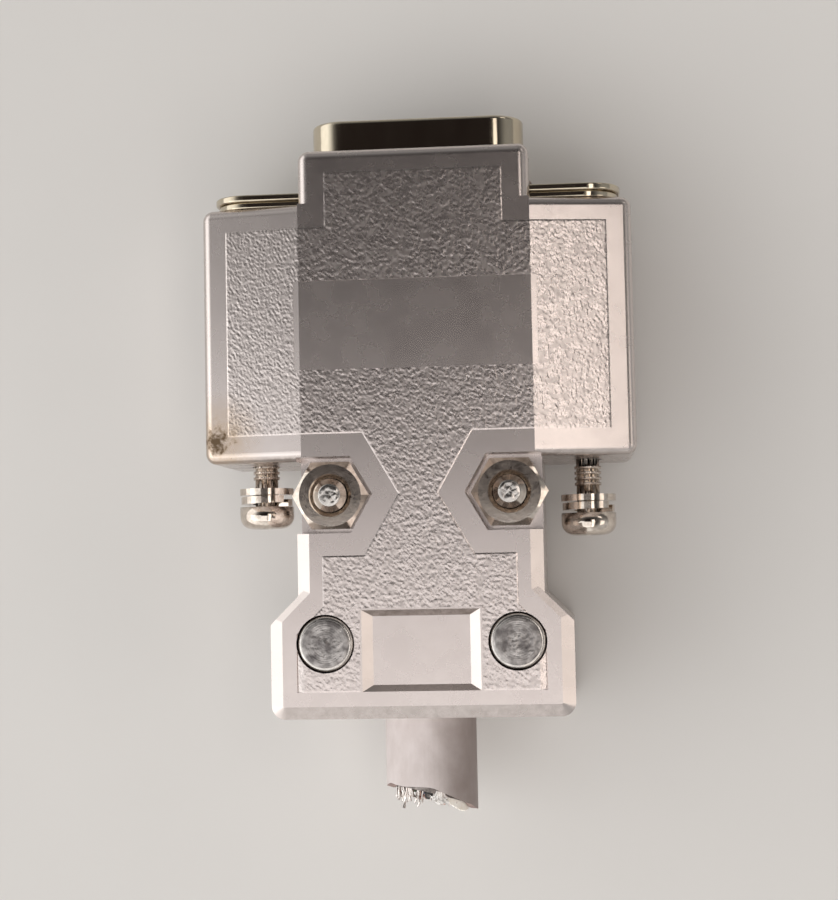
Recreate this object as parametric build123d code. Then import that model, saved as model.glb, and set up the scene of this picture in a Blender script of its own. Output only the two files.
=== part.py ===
"""Nine-way D-sub cable connector in a two-part die-cast hood, lying on its back.

Frame: millimetres. The origin is the middle of the mating face of the flange. +Y points out
of the connector towards its mate, +X across it, +Z out of the face with the nuts.
"""
from build123d import *
import math
import os

# Hood: two castings that meet on the plane Z = 0.
HALF_THICKNESS = 7.35          # parting plane to flat face
CREASE_X = 8.65                # flat middle of the face, and half width of the tongue
TONGUE_REACH = 3.0             # tongue ahead of the flange face
TONGUE_THICKNESS = 1.95
WING_PAST_JACK = 3.655         # jack screw's axis to the outer edge of the wing
WING_DROP = 1.35               # fall of the face from the crease to the outer edge
WING_REAR_Y = -20.3
WING_EDGE_RADIUS = 0.75
WING_CORNER_RADIUS = 0.8
WAIST_HALF_WIDTH = 9.1
WAIST_END_Y = -30.3
TAIL_HALF_WIDTH = 11.2         # lower body that holds the cable clamp
TAIL_START_Y = -32.4
TAIL_END_Y = -39.35
TAIL_CHAMFER = 0.95            # width of the bevel, seen from above
TAIL_CHAMFER_DROP = 0.55
FLARE_CHAMFER = 0.5            # on the slanted edges between waist and lower body
FLARE_CHAMFER_DROP = 0.3
TAIL_CORNER_RADIUS = 1.05
PARTING_BEVEL = 0.14           # small groove where the two castings meet
INNER_WALL = 1.5               # walls round the wires and the clamp
THROAT_WALL = 1.0              # between the wires' passage and the hood screws
THROAT_WIRE_GAP = 0.75         # over and under the bundle of wires
CASTING_RADIUS = 0.6           # inner corners of the castings

# Grained panels sunk into the hood's faces.
PANEL_DEPTH = 0.18
PANEL_TONGUE_X = 6.65
PANEL_TONGUE_Y = 1.26
PANEL_WING_BORDER = 1.85       # plain border at the outer edge of the wing
PANEL_WING_FRONT_Y = -2.85
PANEL_WING_REAR_Y = -18.32
PANEL_WAIST_X = 7.2
PANEL_TAIL_X = 9.18
PANEL_TAIL_END_Y = -37.35
LABEL_BAND_X = 9.07            # plain band across the middle, level with the border
LABEL_BAND_FRONT_Y = -6.9
LABEL_BAND_REAR_Y = -13.55
PLATE_HALF_WIDTH = 4.5         # plain sunk plate near the cable, with its rim
PLATE_FRONT_Y = -31.25
PLATE_REAR_Y = -37.47
PLATE_RIM = 0.13
PLATE_SIDE_BEVEL = 0.78
PLATE_END_BEVEL = 0.46
PLATE_DEPTH = 0.5

# Hexagon nuts and the pan head screws that hold the two castings together.
HOOD_SCREW_X = 6.68
HOOD_SCREW_Y = -22.85
NUT_ACROSS_FLATS = 5.0
NUT_HEIGHT = 2.0
NUT_TOP_BELOW_FACE = 0.95
NUT_COUNTERSINK_RADIUS = 1.6
NUT_CHAMFER_RADIUS = 2.32      # round flat of the chamfered face
NUT_POCKET_CLEARANCE = 0.34    # each side, between nut and pocket
NUT_BORDER_ACROSS_FLATS = 9.0  # plain hexagonal border round the pocket
HOOD_SCREW_RADIUS = 1.25
HOOD_SCREW_HOLE_CLEARANCE = 0.15
NUT_THREAD_CLEARANCE = 0.06
HOOD_SCREW_TIP_ABOVE_NUT = 0.45
HOOD_SCREW_TIP_CHAMFER = 0.4
PAN_HEAD_RADIUS = 2.1
PAN_HEAD_HEIGHT = 1.7
PAN_HEAD_EDGE_RADIUS = 0.95
HOOD_SCREW_HEAD_BELOW_FACE = 0.3
HEAD_POCKET_CLEARANCE = 0.45
DRIVE_SLOT_WIDTH = 0.5
DRIVE_SLOT_LENGTH = 2.3
DRIVE_SLOT_DEPTH = 0.95
DRIVE_SLOT_TAPER = 0.8         # share of the depth that the slot's ends slope over

# Jack screws: captive, each with a flat washer and a spring washer under its head.
JACK_SPACING = 24.99
JACK_TRAVEL = 2.7              # rearmost position, from the wing to the flat washer
JACK_PULL_LEFT = 1.7           # where each one lies at rest
JACK_PULL_RIGHT = 2.7
JACK_REACH = 2.6               # screw tip ahead of the flange face when pushed home
JACK_SHANK_RADIUS = 1.3
JACK_NECK_RADIUS = 0.9
JACK_RING_RADIUS = 1.03
JACK_RING_WIDTH = 0.22
JACK_RING_PITCH = 0.42
JACK_RING_COUNT = 4
JACK_RING_START = 1.95         # last ring, ahead of the flat washer
JACK_TIP_CHAMFER = 0.45
JACK_WALL_THICKNESS = 1.9      # wall of the wing that keeps the screw in
JACK_NECK_CLEARANCE = 0.09
JACK_TUNNEL_CLEARANCE = 0.27
JACK_STOP_GAP = 0.03
WASHER_RADIUS = 2.1
WASHER_BORE_CLEARANCE = 0.07
WASHER_THICKNESS = 0.5
SPRING_WASHER_RADIUS = 2.0
SPRING_WASHER_THICKNESS = 0.55
SPRING_WASHER_HEIGHT = 0.85
SPRING_WASHER_TURN = 0.96      # share of a full turn, the rest is the split
WASHER_GAP = 0.03

# Steel shells and their flange plates.
FLANGE_PAST_JACK = 2.91        # jack screw's axis to the end of the flange
FLANGE_COVER = 1.075           # face of the hood to the edge of the flange
FLANGE_CORNER_RADIUS = 2.5
FLANGE_PLATE = 0.52
FLANGE_EDGE_RADIUS = 0.14
FLANGE_SEAT_GAP = 0.01         # rear plate to the wing's front face
FLANGE_SLOT_CLEARANCE = 0.05
FLANGE_HOLE_RADIUS = 1.525
REAR_PLATE_INSET = 0.2
SHELL_WALL = 0.42
SHELL_HALF_TOP_WIDTH = 8.644   # corner of the D before it is rounded
SHELL_HEIGHT = 7.9
SHELL_CORNER_RADIUS = 2.5
SHELL_REACH = 5.96
SHELL_LIP_RADIUS = 0.3
SHELL_SLANT = 10.0             # degrees
REAR_SHELL_GROWTH = 1.4        # rear shell outside, past the front shell all round
REAR_SHELL_DEPTH = 4.6
BAY_CLEARANCE = 0.15

# Insulators and turned socket contacts: five in the upper row, four in the lower.
INSULATOR_CLEARANCE = 0.03
INSULATOR_FACE_RECESS = 0.3
INSULATOR_BASE = 1.9
CONTACT_PITCH = 2.77
CONTACT_ROW_SPACING = 2.84
UPPER_ROW = 5
LOWER_ROW = 4
CONTACT_RADIUS = 0.78
CONTACT_BORE_RADIUS = 0.51
CONTACT_BORE_DEPTH = 5.6
CONTACT_SHOULDER_RADIUS = 1.08
CONTACT_SHOULDER = 1.0
CONTACT_HOLE_CLEARANCE = 0.04
CONTACT_ENTRY_RADIUS = 0.56
CONTACT_ENTRY_FLARE = 0.22
CONTACT_ENTRY_WALL = 0.5
CONTACT_SLOT_WIDTH = 0.16
CONTACT_SLOT_DEPTH = 3.2
CUP_RADIUS = 0.85
CUP_BORE_RADIUS = 0.58
CUP_LENGTH = 3.4
CUP_STEM = 0.8                 # plain stem between insulator and cup
CUP_BORE_DEPTH = 2.7
CUP_OPEN_LENGTH = 2.2

# Cable: jacket, braid and nine wires, cut off on a slant.
CABLE_RADIUS = 3.5
JACKET_INNER_RADIUS = 2.97
JACKET_FRONT_Y = -29.9
BRAID_RADIUS = 2.93
BRAID_WALL = 0.2
BRAID_PROUD = 1.2
WIRE_RADIUS = 0.6
WIRE_RING_RADIUS = 2.05
WIRE_BARE_RADIUS = 0.42
WIRE_BARE_LENGTH = 2.3
WIRE_CUP_GAP = 0.15
WIRE_SPREAD_Y = -12.0
WIRE_GATHER_Y = -18.0
WIRE_BEND_RADIUS = 7.0
CABLE_EXIT_CLEARANCE = 0.04
CUT_Y = -45.78                 # middle of the cut
CUT_SLOPE_X = -0.246           # fall of the cut across the cable
CUT_SLOPE_Z = 0.19             # fall of the cut through the cable

# Cable clamp: two arched saddles threaded on two turned posts.
POST_X = 7.07
POST_Y = -33.81
POST_RADIUS = 2.09
POST_HOLE_RADIUS = 2.15
POST_TOP_BELOW_FACE = 0.05
POST_EDGE_RADIUS = 0.32
POST_SEAT_DEPTH = 2.6          # how deep the post stands in the rear casting's boss
POST_PRESS_GAP = 0.02
BOSS_RADIUS = 3.1
SADDLE_WIDTH = 4.4
SADDLE_THICKNESS = 1.0
SADDLE_EAR_GAP = 0.2           # each ear to the parting plane
SADDLE_CABLE_GAP = 0.02
SADDLE_ARCH_CLEARANCE = 0.08   # arch to the bosses beside it
SADDLE_POST_CLEARANCE = 0.06
SADDLE_ROOF_GAP = 0.83         # top of the arch to the roof over it

# Places that follow from the sizes above.
FLANGE_HEIGHT = 2 * (HALF_THICKNESS - FLANGE_COVER)
TONGUE_UNDERSIDE = HALF_THICKNESS - TONGUE_THICKNESS
WING_FRONT_Y = -(2 * FLANGE_PLATE + FLANGE_SEAT_GAP)
JACK_X = JACK_SPACING / 2
FLANGE_WIDTH = JACK_SPACING + 2 * FLANGE_PAST_JACK
WING_HALF_WIDTH = JACK_X + WING_PAST_JACK
WING_SLOPE = WING_DROP / (WING_HALF_WIDTH - CREASE_X)
PANEL_WING_X = WING_HALF_WIDTH - PANEL_WING_BORDER
NUT_SEAT_Z = HALF_THICKNESS - NUT_TOP_BELOW_FACE - NUT_HEIGHT
NUT_TOP_Z = NUT_SEAT_Z + NUT_HEIGHT
NUT_POCKET_ACROSS_FLATS = NUT_ACROSS_FLATS + 2 * NUT_POCKET_CLEARANCE
HOOD_SCREW_HOLE_RADIUS = HOOD_SCREW_RADIUS + HOOD_SCREW_HOLE_CLEARANCE
HEAD_SEAT_Z = -(HALF_THICKNESS - HOOD_SCREW_HEAD_BELOW_FACE - PAN_HEAD_HEIGHT)
JACK_TUNNEL_RADIUS = JACK_SHANK_RADIUS + JACK_TUNNEL_CLEARANCE
JACK_NECK_HOLE_RADIUS = JACK_RING_RADIUS + JACK_NECK_CLEARANCE
JACK_TUNNEL_REAR_Y = WING_REAR_Y + JACK_WALL_THICKNESS
WASHER_BORE_RADIUS = JACK_RING_RADIUS + WASHER_BORE_CLEARANCE
WASHER_STACK = WASHER_THICKNESS + WASHER_GAP + SPRING_WASHER_HEIGHT + WASHER_GAP
JACK_LENGTH = WASHER_STACK - WING_REAR_Y + JACK_REACH
JACK_NECK_LENGTH = JACK_WALL_THICKNESS + JACK_TRAVEL + WASHER_STACK + JACK_STOP_GAP
REAR_SHELL_END_Y = -FLANGE_PLATE - REAR_SHELL_DEPTH
INSULATOR_SPLIT_Y = -FLANGE_PLATE - INSULATOR_BASE
BAY_REAR_Y = REAR_SHELL_END_Y - BAY_CLEARANCE
CONTACT_SHOULDER_FRONT_Y = INSULATOR_SPLIT_Y + CONTACT_SHOULDER / 2
CONTACT_FRONT_Y = SHELL_REACH - INSULATOR_FACE_RECESS - CONTACT_ENTRY_WALL
CUP_FRONT_Y = REAR_SHELL_END_Y - CUP_STEM
CUP_REAR_Y = CUP_FRONT_Y - CUP_LENGTH
TAIL_WALL_Y = TAIL_END_Y + INNER_WALL
UNCUT_END_Y = CUT_Y - 2 * CABLE_RADIUS
SADDLE_INNER_RADIUS = CABLE_RADIUS + SADDLE_CABLE_GAP
SADDLE_OUTER_RADIUS = SADDLE_INNER_RADIUS + SADDLE_THICKNESS
ROOF_Z = SADDLE_OUTER_RADIUS + SADDLE_ROOF_GAP
FAR = 60.0                     # longer than anything here, for cuts that run right through


def prism(points, low, high):
    """Closed outline in X and Y, raised from one height to another."""
    outline = make_face(Polyline(*points, close=True))
    return extrude(Pos(0, 0, low) * outline, amount=high - low)


def both_sides(points):
    """Outline closed from its right half, which runs from the front to the rear."""
    return points + [(-x, y) for x, y in reversed(points) if x > 0]


def block(x, y, z):
    """Box from pairs of limits."""
    size = (x[1] - x[0], y[1] - y[0], z[1] - z[0])
    return Pos((x[0] + x[1]) / 2, (y[0] + y[1]) / 2, (z[0] + z[1]) / 2) * Box(*size)


def rod(radius, x, z, rear, front):
    """Cylinder along Y."""
    return Pos(x, front, z) * extrude(Plane.XZ * Circle(radius), amount=front - rear)


def post(radius, x, y, low, high):
    """Cylinder along Z."""
    return Pos(x, y, low) * extrude(Circle(radius), amount=high - low)


def hexagon(across_flats, x, y, low, high):
    """Hexagonal prism along Z, with two corners on a line along X."""
    outline = RegularPolygon(across_flats / math.sqrt(3), 6)
    return Pos(x, y, low) * extrude(outline, amount=high - low)


def turned(points, x=0.0, y=0.0, z=0.0):
    """Solid of revolution about Y, from (radius, y) points."""
    return Pos(x, y, z) * revolve(make_face(Polyline(*points, close=True)), axis=Axis.Y)


def mirrored(solid):
    """A solid and its copy on the other side of X = 0."""
    return solid + mirror(solid, about=Plane.YZ)


# Hood.

def wing_block():
    """Right wing: its face falls outwards from the crease, and its edges are rounded."""
    profile = [(CREASE_X, 0), (WING_HALF_WIDTH, 0),
               (WING_HALF_WIDTH, HALF_THICKNESS - WING_DROP), (CREASE_X, HALF_THICKNESS)]
    face = Plane.XZ * make_face(Polyline(*profile, close=True))
    wing = Pos(0, WING_FRONT_Y, 0) * extrude(face, amount=WING_FRONT_Y - WING_REAR_Y)
    corners = wing.edges().filter_by(Axis.Z).group_by(Axis.X)[-1]
    wing = fillet(corners, WING_CORNER_RADIUS)
    top = wing.faces().filter_by(lambda f: f.normal_at().Z > 0.5).sort_by(Axis.Z)[-1]
    inner = top.edges().sort_by(Axis.X)[0]
    rim = [edge for edge in top.edges() if edge.center().X > inner.center().X + 0.01]
    return fillet(rim, WING_EDGE_RADIUS)


def tongue_block():
    """Lip of the casting that reaches over the flange and past it."""
    tongue = block((-CREASE_X, CREASE_X), (WING_FRONT_Y, TONGUE_REACH),
                   (TONGUE_UNDERSIDE, HALF_THICKNESS))
    corners = tongue.edges().filter_by(Axis.Z).group_by(Axis.Y)[-1]
    tongue = fillet(corners, WING_CORNER_RADIUS)
    top = tongue.faces().sort_by(Axis.Z)[-1]
    rear = top.edges().sort_by(Axis.Y)[0]
    rim = [edge for edge in top.edges() if edge.center().Y > rear.center().Y + 0.01]
    return fillet(rim, WING_EDGE_RADIUS)


def tail_outline(front_y, inset=0.0):
    """Right half of the waist and lower body, from the front to the rear."""
    flare = inset * math.tan(math.radians(22.5))
    return [(WAIST_HALF_WIDTH - inset, front_y), (WAIST_HALF_WIDTH - inset, WAIST_END_Y - flare),
            (TAIL_HALF_WIDTH - inset, TAIL_START_Y - flare), (TAIL_HALF_WIDTH - inset, TAIL_END_Y + inset)]


def tail_block():
    """Waist and lower body, bevelled all round except where they run into the wings."""
    front_y = WING_REAR_Y + CASTING_RADIUS
    tail = prism(both_sides(tail_outline(front_y)), 0, HALF_THICKNESS)
    corners = tail.edges().filter_by(Axis.Z).group_by(Axis.Y)[0]
    tail = fillet(corners, TAIL_CORNER_RADIUS)
    top = tail.faces().sort_by(Axis.Z)[-1]
    rim = [edge for edge in top.edges() if edge.center().Y < front_y - 0.01]
    straight = [edge for edge in rim if not is_flare(edge)]
    tail = chamfer(straight, TAIL_CHAMFER, TAIL_CHAMFER_DROP, reference=top)
    top = tail.faces().sort_by(Axis.Z)[-1]
    flares = [edge for edge in top.edges() if is_flare(edge)]
    return chamfer(flares, FLARE_CHAMFER, FLARE_CHAMFER_DROP, reference=top)


def is_flare(edge):
    """Whether a straight edge of the top runs slantwise, from the waist to the lower body."""
    along = edge.tangent_at(0.5)
    return edge.geom_type == GeomType.LINE and min(abs(along.X), abs(along.Y)) > 0.1


def crown():
    """Everything under the faces of the hood, with no edges rounded."""
    outer_x = 2 * WING_HALF_WIDTH
    outer_z = HALF_THICKNESS - WING_SLOPE * (outer_x - CREASE_X)
    outline = [(CREASE_X, HALF_THICKNESS), (outer_x, outer_z), (outer_x, -FAR),
               (-outer_x, -FAR), (-outer_x, outer_z), (-CREASE_X, HALF_THICKNESS)]
    return Pos(0, FAR, 0) * extrude(Plane.XZ * make_face(Polyline(*outline, close=True)), amount=2 * FAR)


def panel_outline():
    """Right half of the grained panel, which steps round the hexagonal border."""
    corner = NUT_BORDER_ACROSS_FLATS / math.sqrt(3)
    flat = NUT_BORDER_ACROSS_FLATS / 2
    flare_start = WAIST_END_Y - (WAIST_HALF_WIDTH - PANEL_WAIST_X) * math.tan(math.radians(22.5))
    flare_end = flare_start - (PANEL_TAIL_X - PANEL_WAIST_X)
    return [(PANEL_TONGUE_X, PANEL_TONGUE_Y), (PANEL_TONGUE_X, PANEL_WING_FRONT_Y),
            (PANEL_WING_X, PANEL_WING_FRONT_Y), (PANEL_WING_X, PANEL_WING_REAR_Y),
            (HOOD_SCREW_X - corner / 2, PANEL_WING_REAR_Y),
            (HOOD_SCREW_X - corner, HOOD_SCREW_Y),
            (HOOD_SCREW_X - corner / 2, HOOD_SCREW_Y - flat),
            (PANEL_WAIST_X, HOOD_SCREW_Y - flat), (PANEL_WAIST_X, flare_start),
            (PANEL_TAIL_X, flare_end), (PANEL_TAIL_X, PANEL_TAIL_END_Y)]


def panel_cut():
    """Shallow sunk panel that leaves the border and the label band standing."""
    cut = prism(both_sides(panel_outline()), 0, FAR)
    cut -= block((-LABEL_BAND_X, LABEL_BAND_X), (LABEL_BAND_REAR_Y, LABEL_BAND_FRONT_Y), (0, FAR))
    return cut - Pos(0, 0, -PANEL_DEPTH) * crown()


def plate_frame():
    """Plain rim that keeps the grain off the plate's edge."""
    return block((-PLATE_HALF_WIDTH, PLATE_HALF_WIDTH), (PLATE_REAR_Y, PLATE_FRONT_Y),
                 (ROOF_Z, HALF_THICKNESS))


def plate_cut():
    """Sunk plate with bevelled sides."""
    middle_y = (PLATE_FRONT_Y + PLATE_REAR_Y) / 2
    width = 2 * (PLATE_HALF_WIDTH - PLATE_RIM)
    length = PLATE_FRONT_Y - PLATE_REAR_Y - 2 * PLATE_RIM
    mouth = Pos(0, middle_y, HALF_THICKNESS) * Rectangle(width, length)
    floor = Rectangle(width - 2 * PLATE_SIDE_BEVEL, length - 2 * PLATE_END_BEVEL)
    return loft([Pos(0, middle_y, HALF_THICKNESS - PLATE_DEPTH) * floor, mouth])


def hollow():
    """Room inside one casting for the connector, the wires and the clamp."""
    bay_x = SHELL_HALF_TOP_WIDTH + REAR_SHELL_GROWTH + BAY_CLEARANCE
    bay_z = SHELL_HEIGHT / 2 + REAR_SHELL_GROWTH + BAY_CLEARANCE
    bay = block((-bay_x, bay_x), (BAY_REAR_Y, WING_FRONT_Y), (0, bay_z))
    chamber_x = JACK_X - JACK_TUNNEL_RADIUS - INNER_WALL
    chamber = block((-chamber_x, chamber_x), (JACK_TUNNEL_REAR_Y, BAY_REAR_Y), (0, bay_z))
    throat_x = HOOD_SCREW_X - HOOD_SCREW_HOLE_RADIUS - THROAT_WALL
    throat_z = WIRE_RING_RADIUS + WIRE_RADIUS + THROAT_WIRE_GAP
    clamp_front_y = JACKET_FRONT_Y + CASTING_RADIUS
    throat = block((-throat_x, throat_x), (clamp_front_y, JACK_TUNNEL_REAR_Y), (0, throat_z))
    room = [(x, min(y, clamp_front_y)) for x, y in tail_outline(clamp_front_y, INNER_WALL)]
    clamp = prism(both_sides(room), 0, ROOF_Z)
    for part in (bay, chamber, clamp):
        rim = part.edges().filter_by(Axis.Z)
        yield fillet(rim, CASTING_RADIUS)
    yield throat


def casting():
    """One half of the hood with all that the two halves share."""
    middle = block((-CREASE_X, CREASE_X), (WING_REAR_Y, WING_FRONT_Y), (0, HALF_THICKNESS))
    body = middle + tongue_block() + tail_block() + mirrored(wing_block())
    for room in hollow():
        body -= room
    slot_z = FLANGE_HEIGHT / 2 + FLANGE_SLOT_CLEARANCE
    body -= block((-FAR, FAR), (WING_FRONT_Y, FLANGE_SLOT_CLEARANCE), (0, slot_z))
    boss = post(BOSS_RADIUS, POST_X, POST_Y, SADDLE_EAR_GAP + SADDLE_THICKNESS, ROOF_Z + CASTING_RADIUS)
    arch_room = SADDLE_OUTER_RADIUS + SADDLE_ARCH_CLEARANCE
    body += mirrored(boss - rod(arch_room, 0, 0, TAIL_WALL_Y, JACKET_FRONT_Y))
    body -= mirrored(rod(JACK_TUNNEL_RADIUS, JACK_X, 0, JACK_TUNNEL_REAR_Y, WING_FRONT_Y))
    body -= mirrored(rod(JACK_NECK_HOLE_RADIUS, JACK_X, 0, WING_REAR_Y, JACK_TUNNEL_REAR_Y))
    body -= mirrored(post(HOOD_SCREW_HOLE_RADIUS, HOOD_SCREW_X, HOOD_SCREW_Y, 0, FAR))
    body -= rod(CABLE_RADIUS + CABLE_EXIT_CLEARANCE, 0, 0, TAIL_END_Y, TAIL_WALL_Y)
    body -= panel_cut()
    return body - parting_groove()


def parting_groove():
    """Thin step round the outside, where the two castings meet."""
    wing = [(WING_HALF_WIDTH, WING_FRONT_Y), (WING_HALF_WIDTH, WING_REAR_Y)]
    outline = both_sides(wing + tail_outline(WING_REAR_Y))
    inset = [(WING_HALF_WIDTH - PARTING_BEVEL, WING_FRONT_Y),
             (WING_HALF_WIDTH - PARTING_BEVEL, WING_REAR_Y + PARTING_BEVEL)]
    inner = both_sides(inset + tail_outline(WING_REAR_Y + PARTING_BEVEL, PARTING_BEVEL))
    return prism(outline, 0, PARTING_BEVEL) - prism(inner, 0, PARTING_BEVEL)


def nut_pocket():
    """Hexagonal pocket that runs out straight through the side of the waist."""
    half = NUT_POCKET_ACROSS_FLATS / 2
    way_out = block((HOOD_SCREW_X, WAIST_HALF_WIDTH), (HOOD_SCREW_Y - half, HOOD_SCREW_Y + half),
                    (NUT_SEAT_Z, FAR))
    return hexagon(NUT_POCKET_ACROSS_FLATS, HOOD_SCREW_X, HOOD_SCREW_Y, NUT_SEAT_Z, FAR) + way_out


def hood_front():
    """Casting with the nut pockets, the post holes and the plate."""
    body = casting() + plate_frame()
    body -= plate_cut()
    body -= mirrored(nut_pocket())
    return body - mirrored(post(POST_HOLE_RADIUS, POST_X, POST_Y, 0, FAR))


def hood_rear():
    """Casting with the screw head pockets and the blind seats of the posts."""
    body = mirror(casting(), about=Plane.XY)
    pocket = PAN_HEAD_RADIUS + HEAD_POCKET_CLEARANCE
    body -= mirrored(post(pocket, HOOD_SCREW_X, HOOD_SCREW_Y, -FAR, HEAD_SEAT_Z))
    seat = post(POST_RADIUS + POST_PRESS_GAP, POST_X, POST_Y, post_foot_z(), 0)
    return body - mirrored(seat)


def post_foot_z():
    """Height of the lower end of a post, inside the rear casting's boss."""
    return -(SADDLE_EAR_GAP + SADDLE_THICKNESS + POST_SEAT_DEPTH)


# Fasteners.

def drive_recess(top_z):
    """Cross recess for a driver, cut down from the given height along Z."""
    slot = Pos(0, 0, -DRIVE_SLOT_DEPTH / 2) * Box(DRIVE_SLOT_LENGTH, DRIVE_SLOT_WIDTH, DRIVE_SLOT_DEPTH)
    ends = slot.edges().filter_by(Axis.Y).sort_by(Axis.Z)[:2]
    slot = chamfer(ends, DRIVE_SLOT_DEPTH * DRIVE_SLOT_TAPER)
    return Pos(0, 0, top_z) * (slot + Rot(0, 0, 90) * slot)


def pan_head():
    """Pan head on the plane Z = 0, rounded and recessed at its upper end."""
    head = extrude(Circle(PAN_HEAD_RADIUS), amount=PAN_HEAD_HEIGHT)
    head = fillet(head.edges().sort_by(Axis.Z)[-1], PAN_HEAD_EDGE_RADIUS)
    return head - drive_recess(PAN_HEAD_HEIGHT)


def hex_nut(side):
    """Nut whose outer face is chamfered and countersunk."""
    nut = hexagon(NUT_ACROSS_FLATS, 0, 0, 0, NUT_HEIGHT)
    corner = NUT_ACROSS_FLATS / math.sqrt(3)
    rise = (corner - NUT_CHAMFER_RADIUS) * math.tan(math.radians(30))
    turn = [(0, 0), (corner, 0), (corner, NUT_HEIGHT - rise),
            (NUT_CHAMFER_RADIUS, NUT_HEIGHT), (0, NUT_HEIGHT)]
    nut &= Rot(90, 0, 0) * revolve(make_face(Polyline(*turn, close=True)), axis=Axis.Y)
    bore = HOOD_SCREW_RADIUS + NUT_THREAD_CLEARANCE
    nut -= post(bore, 0, 0, 0, NUT_HEIGHT)
    depth = NUT_COUNTERSINK_RADIUS - bore
    sink = Pos(0, 0, NUT_HEIGHT - depth / 2) * Cone(bore, NUT_COUNTERSINK_RADIUS, depth)
    return Pos(side * HOOD_SCREW_X, HOOD_SCREW_Y, NUT_SEAT_Z) * (nut - sink)


def hood_screw(side):
    """Screw from the rear casting up through the nut."""
    tip_z = NUT_TOP_Z + HOOD_SCREW_TIP_ABOVE_NUT
    shank = extrude(Circle(HOOD_SCREW_RADIUS), amount=tip_z - HEAD_SEAT_Z)
    shank = chamfer(shank.edges().sort_by(Axis.Z)[-1], HOOD_SCREW_TIP_CHAMFER)
    screw = shank + Rot(180, 0, 0) * pan_head()
    return Pos(side * HOOD_SCREW_X, HOOD_SCREW_Y, HEAD_SEAT_Z) * screw


def jack_pull(side):
    """How far one jack screw lies pulled out at rest."""
    return JACK_PULL_RIGHT if side > 0 else JACK_PULL_LEFT


def jack_place(side):
    """Place of a jack screw's washers: the front of its flat washer."""
    return Pos(side * JACK_X, WING_REAR_Y - jack_pull(side), 0)


def jack_profile():
    """Half section of the screw, from under its head to its tip, as (radius, distance)."""
    points = [(0, 0), (JACK_NECK_RADIUS, 0)]
    for ring in range(JACK_RING_COUNT):
        start = WASHER_STACK + JACK_RING_START + (ring - JACK_RING_COUNT + 1) * JACK_RING_PITCH
        points += [(JACK_NECK_RADIUS, start), (JACK_RING_RADIUS, start),
                   (JACK_RING_RADIUS, start + JACK_RING_WIDTH), (JACK_NECK_RADIUS, start + JACK_RING_WIDTH)]
    return points + [(JACK_NECK_RADIUS, JACK_NECK_LENGTH), (JACK_SHANK_RADIUS, JACK_NECK_LENGTH),
                     (JACK_SHANK_RADIUS, JACK_LENGTH - JACK_TIP_CHAMFER),
                     (JACK_SHANK_RADIUS - JACK_TIP_CHAMFER, JACK_LENGTH), (0, JACK_LENGTH)]


def jack_screw(side):
    """Captive screw: threaded front, thin neck with fine rings, pan head behind."""
    screw = turned(jack_profile()) + Rot(90, 0, 0) * pan_head()
    return jack_place(side) * Pos(0, -WASHER_STACK, 0) * screw


def jack_flat_washer(side):
    """Flat washer that meets the hood."""
    ring = Plane.XZ * (Circle(WASHER_RADIUS) - Circle(WASHER_BORE_RADIUS))
    return jack_place(side) * extrude(ring, amount=WASHER_THICKNESS)


def jack_spring_washer(side):
    """Split washer: one turn of rectangular wire that climbs by its own thickness at the split."""
    climb = SPRING_WASHER_HEIGHT - SPRING_WASHER_THICKNESS
    radius = (SPRING_WASHER_RADIUS + WASHER_BORE_RADIUS) / 2
    path = Helix(pitch=climb / SPRING_WASHER_TURN, height=climb, radius=radius)
    start = path @ 0
    section = Plane(origin=start, x_dir=(1, 0, 0), z_dir=(0, 1, 0)) * Rectangle(
        SPRING_WASHER_RADIUS - WASHER_BORE_RADIUS, SPRING_WASHER_THICKNESS)
    coil = sweep(section, path=path, is_frenet=True)
    coil = Rot(90, 0, 0) * Rot(0, 0, 40) * coil
    front = WASHER_THICKNESS + WASHER_GAP + coil.bounding_box().max.Y
    return jack_place(side) * Pos(0, -front, 0) * coil


# Shells, insulators and contacts.

def d_face(grow=0.0):
    """D outline across Y: wide side up, sides slanted, grown or shrunk evenly."""
    half_height = SHELL_HEIGHT / 2
    lower = SHELL_HALF_TOP_WIDTH - SHELL_HEIGHT * math.tan(math.radians(SHELL_SLANT))
    points = [(-SHELL_HALF_TOP_WIDTH, half_height), (SHELL_HALF_TOP_WIDTH, half_height),
              (lower, -half_height), (-lower, -half_height)]
    face = make_face(Polyline(*points, close=True))
    face = fillet(face.vertices(), SHELL_CORNER_RADIUS)
    if grow:
        face = offset(face, amount=grow, kind=Kind.ARC)
    return Plane.XZ * face


def d_bar(grow, rear, front):
    """D outline drawn out along Y."""
    return Pos(0, front, 0) * extrude(d_face(grow), amount=front - rear)


def flange_plate(width, height, rear, front):
    """Flange plate with rounded corners and edges, and its two holes."""
    outline = Plane.XZ * RectangleRounded(width, height, FLANGE_CORNER_RADIUS)
    plate = Pos(0, front, 0) * extrude(outline, amount=front - rear)
    rims = plate.edges().group_by(Axis.Y)
    plate = fillet(rims[0] + rims[-1], FLANGE_EDGE_RADIUS)
    return plate - mirrored(rod(FLANGE_HOLE_RADIUS, JACK_X, 0, rear, front))


def mating_shell():
    """Drawn front shell: flange plate and the D-shaped tube round the contacts."""
    plate = flange_plate(FLANGE_WIDTH, FLANGE_HEIGHT, -FLANGE_PLATE, 0)
    shell = plate + d_bar(0, -FLANGE_PLATE / 2, SHELL_REACH)
    rim = shell.faces().sort_by(Axis.Y)[-1].edges()
    shell = fillet(rim, SHELL_LIP_RADIUS)
    return shell - d_bar(-SHELL_WALL, -FLANGE_PLATE, SHELL_REACH)


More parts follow.
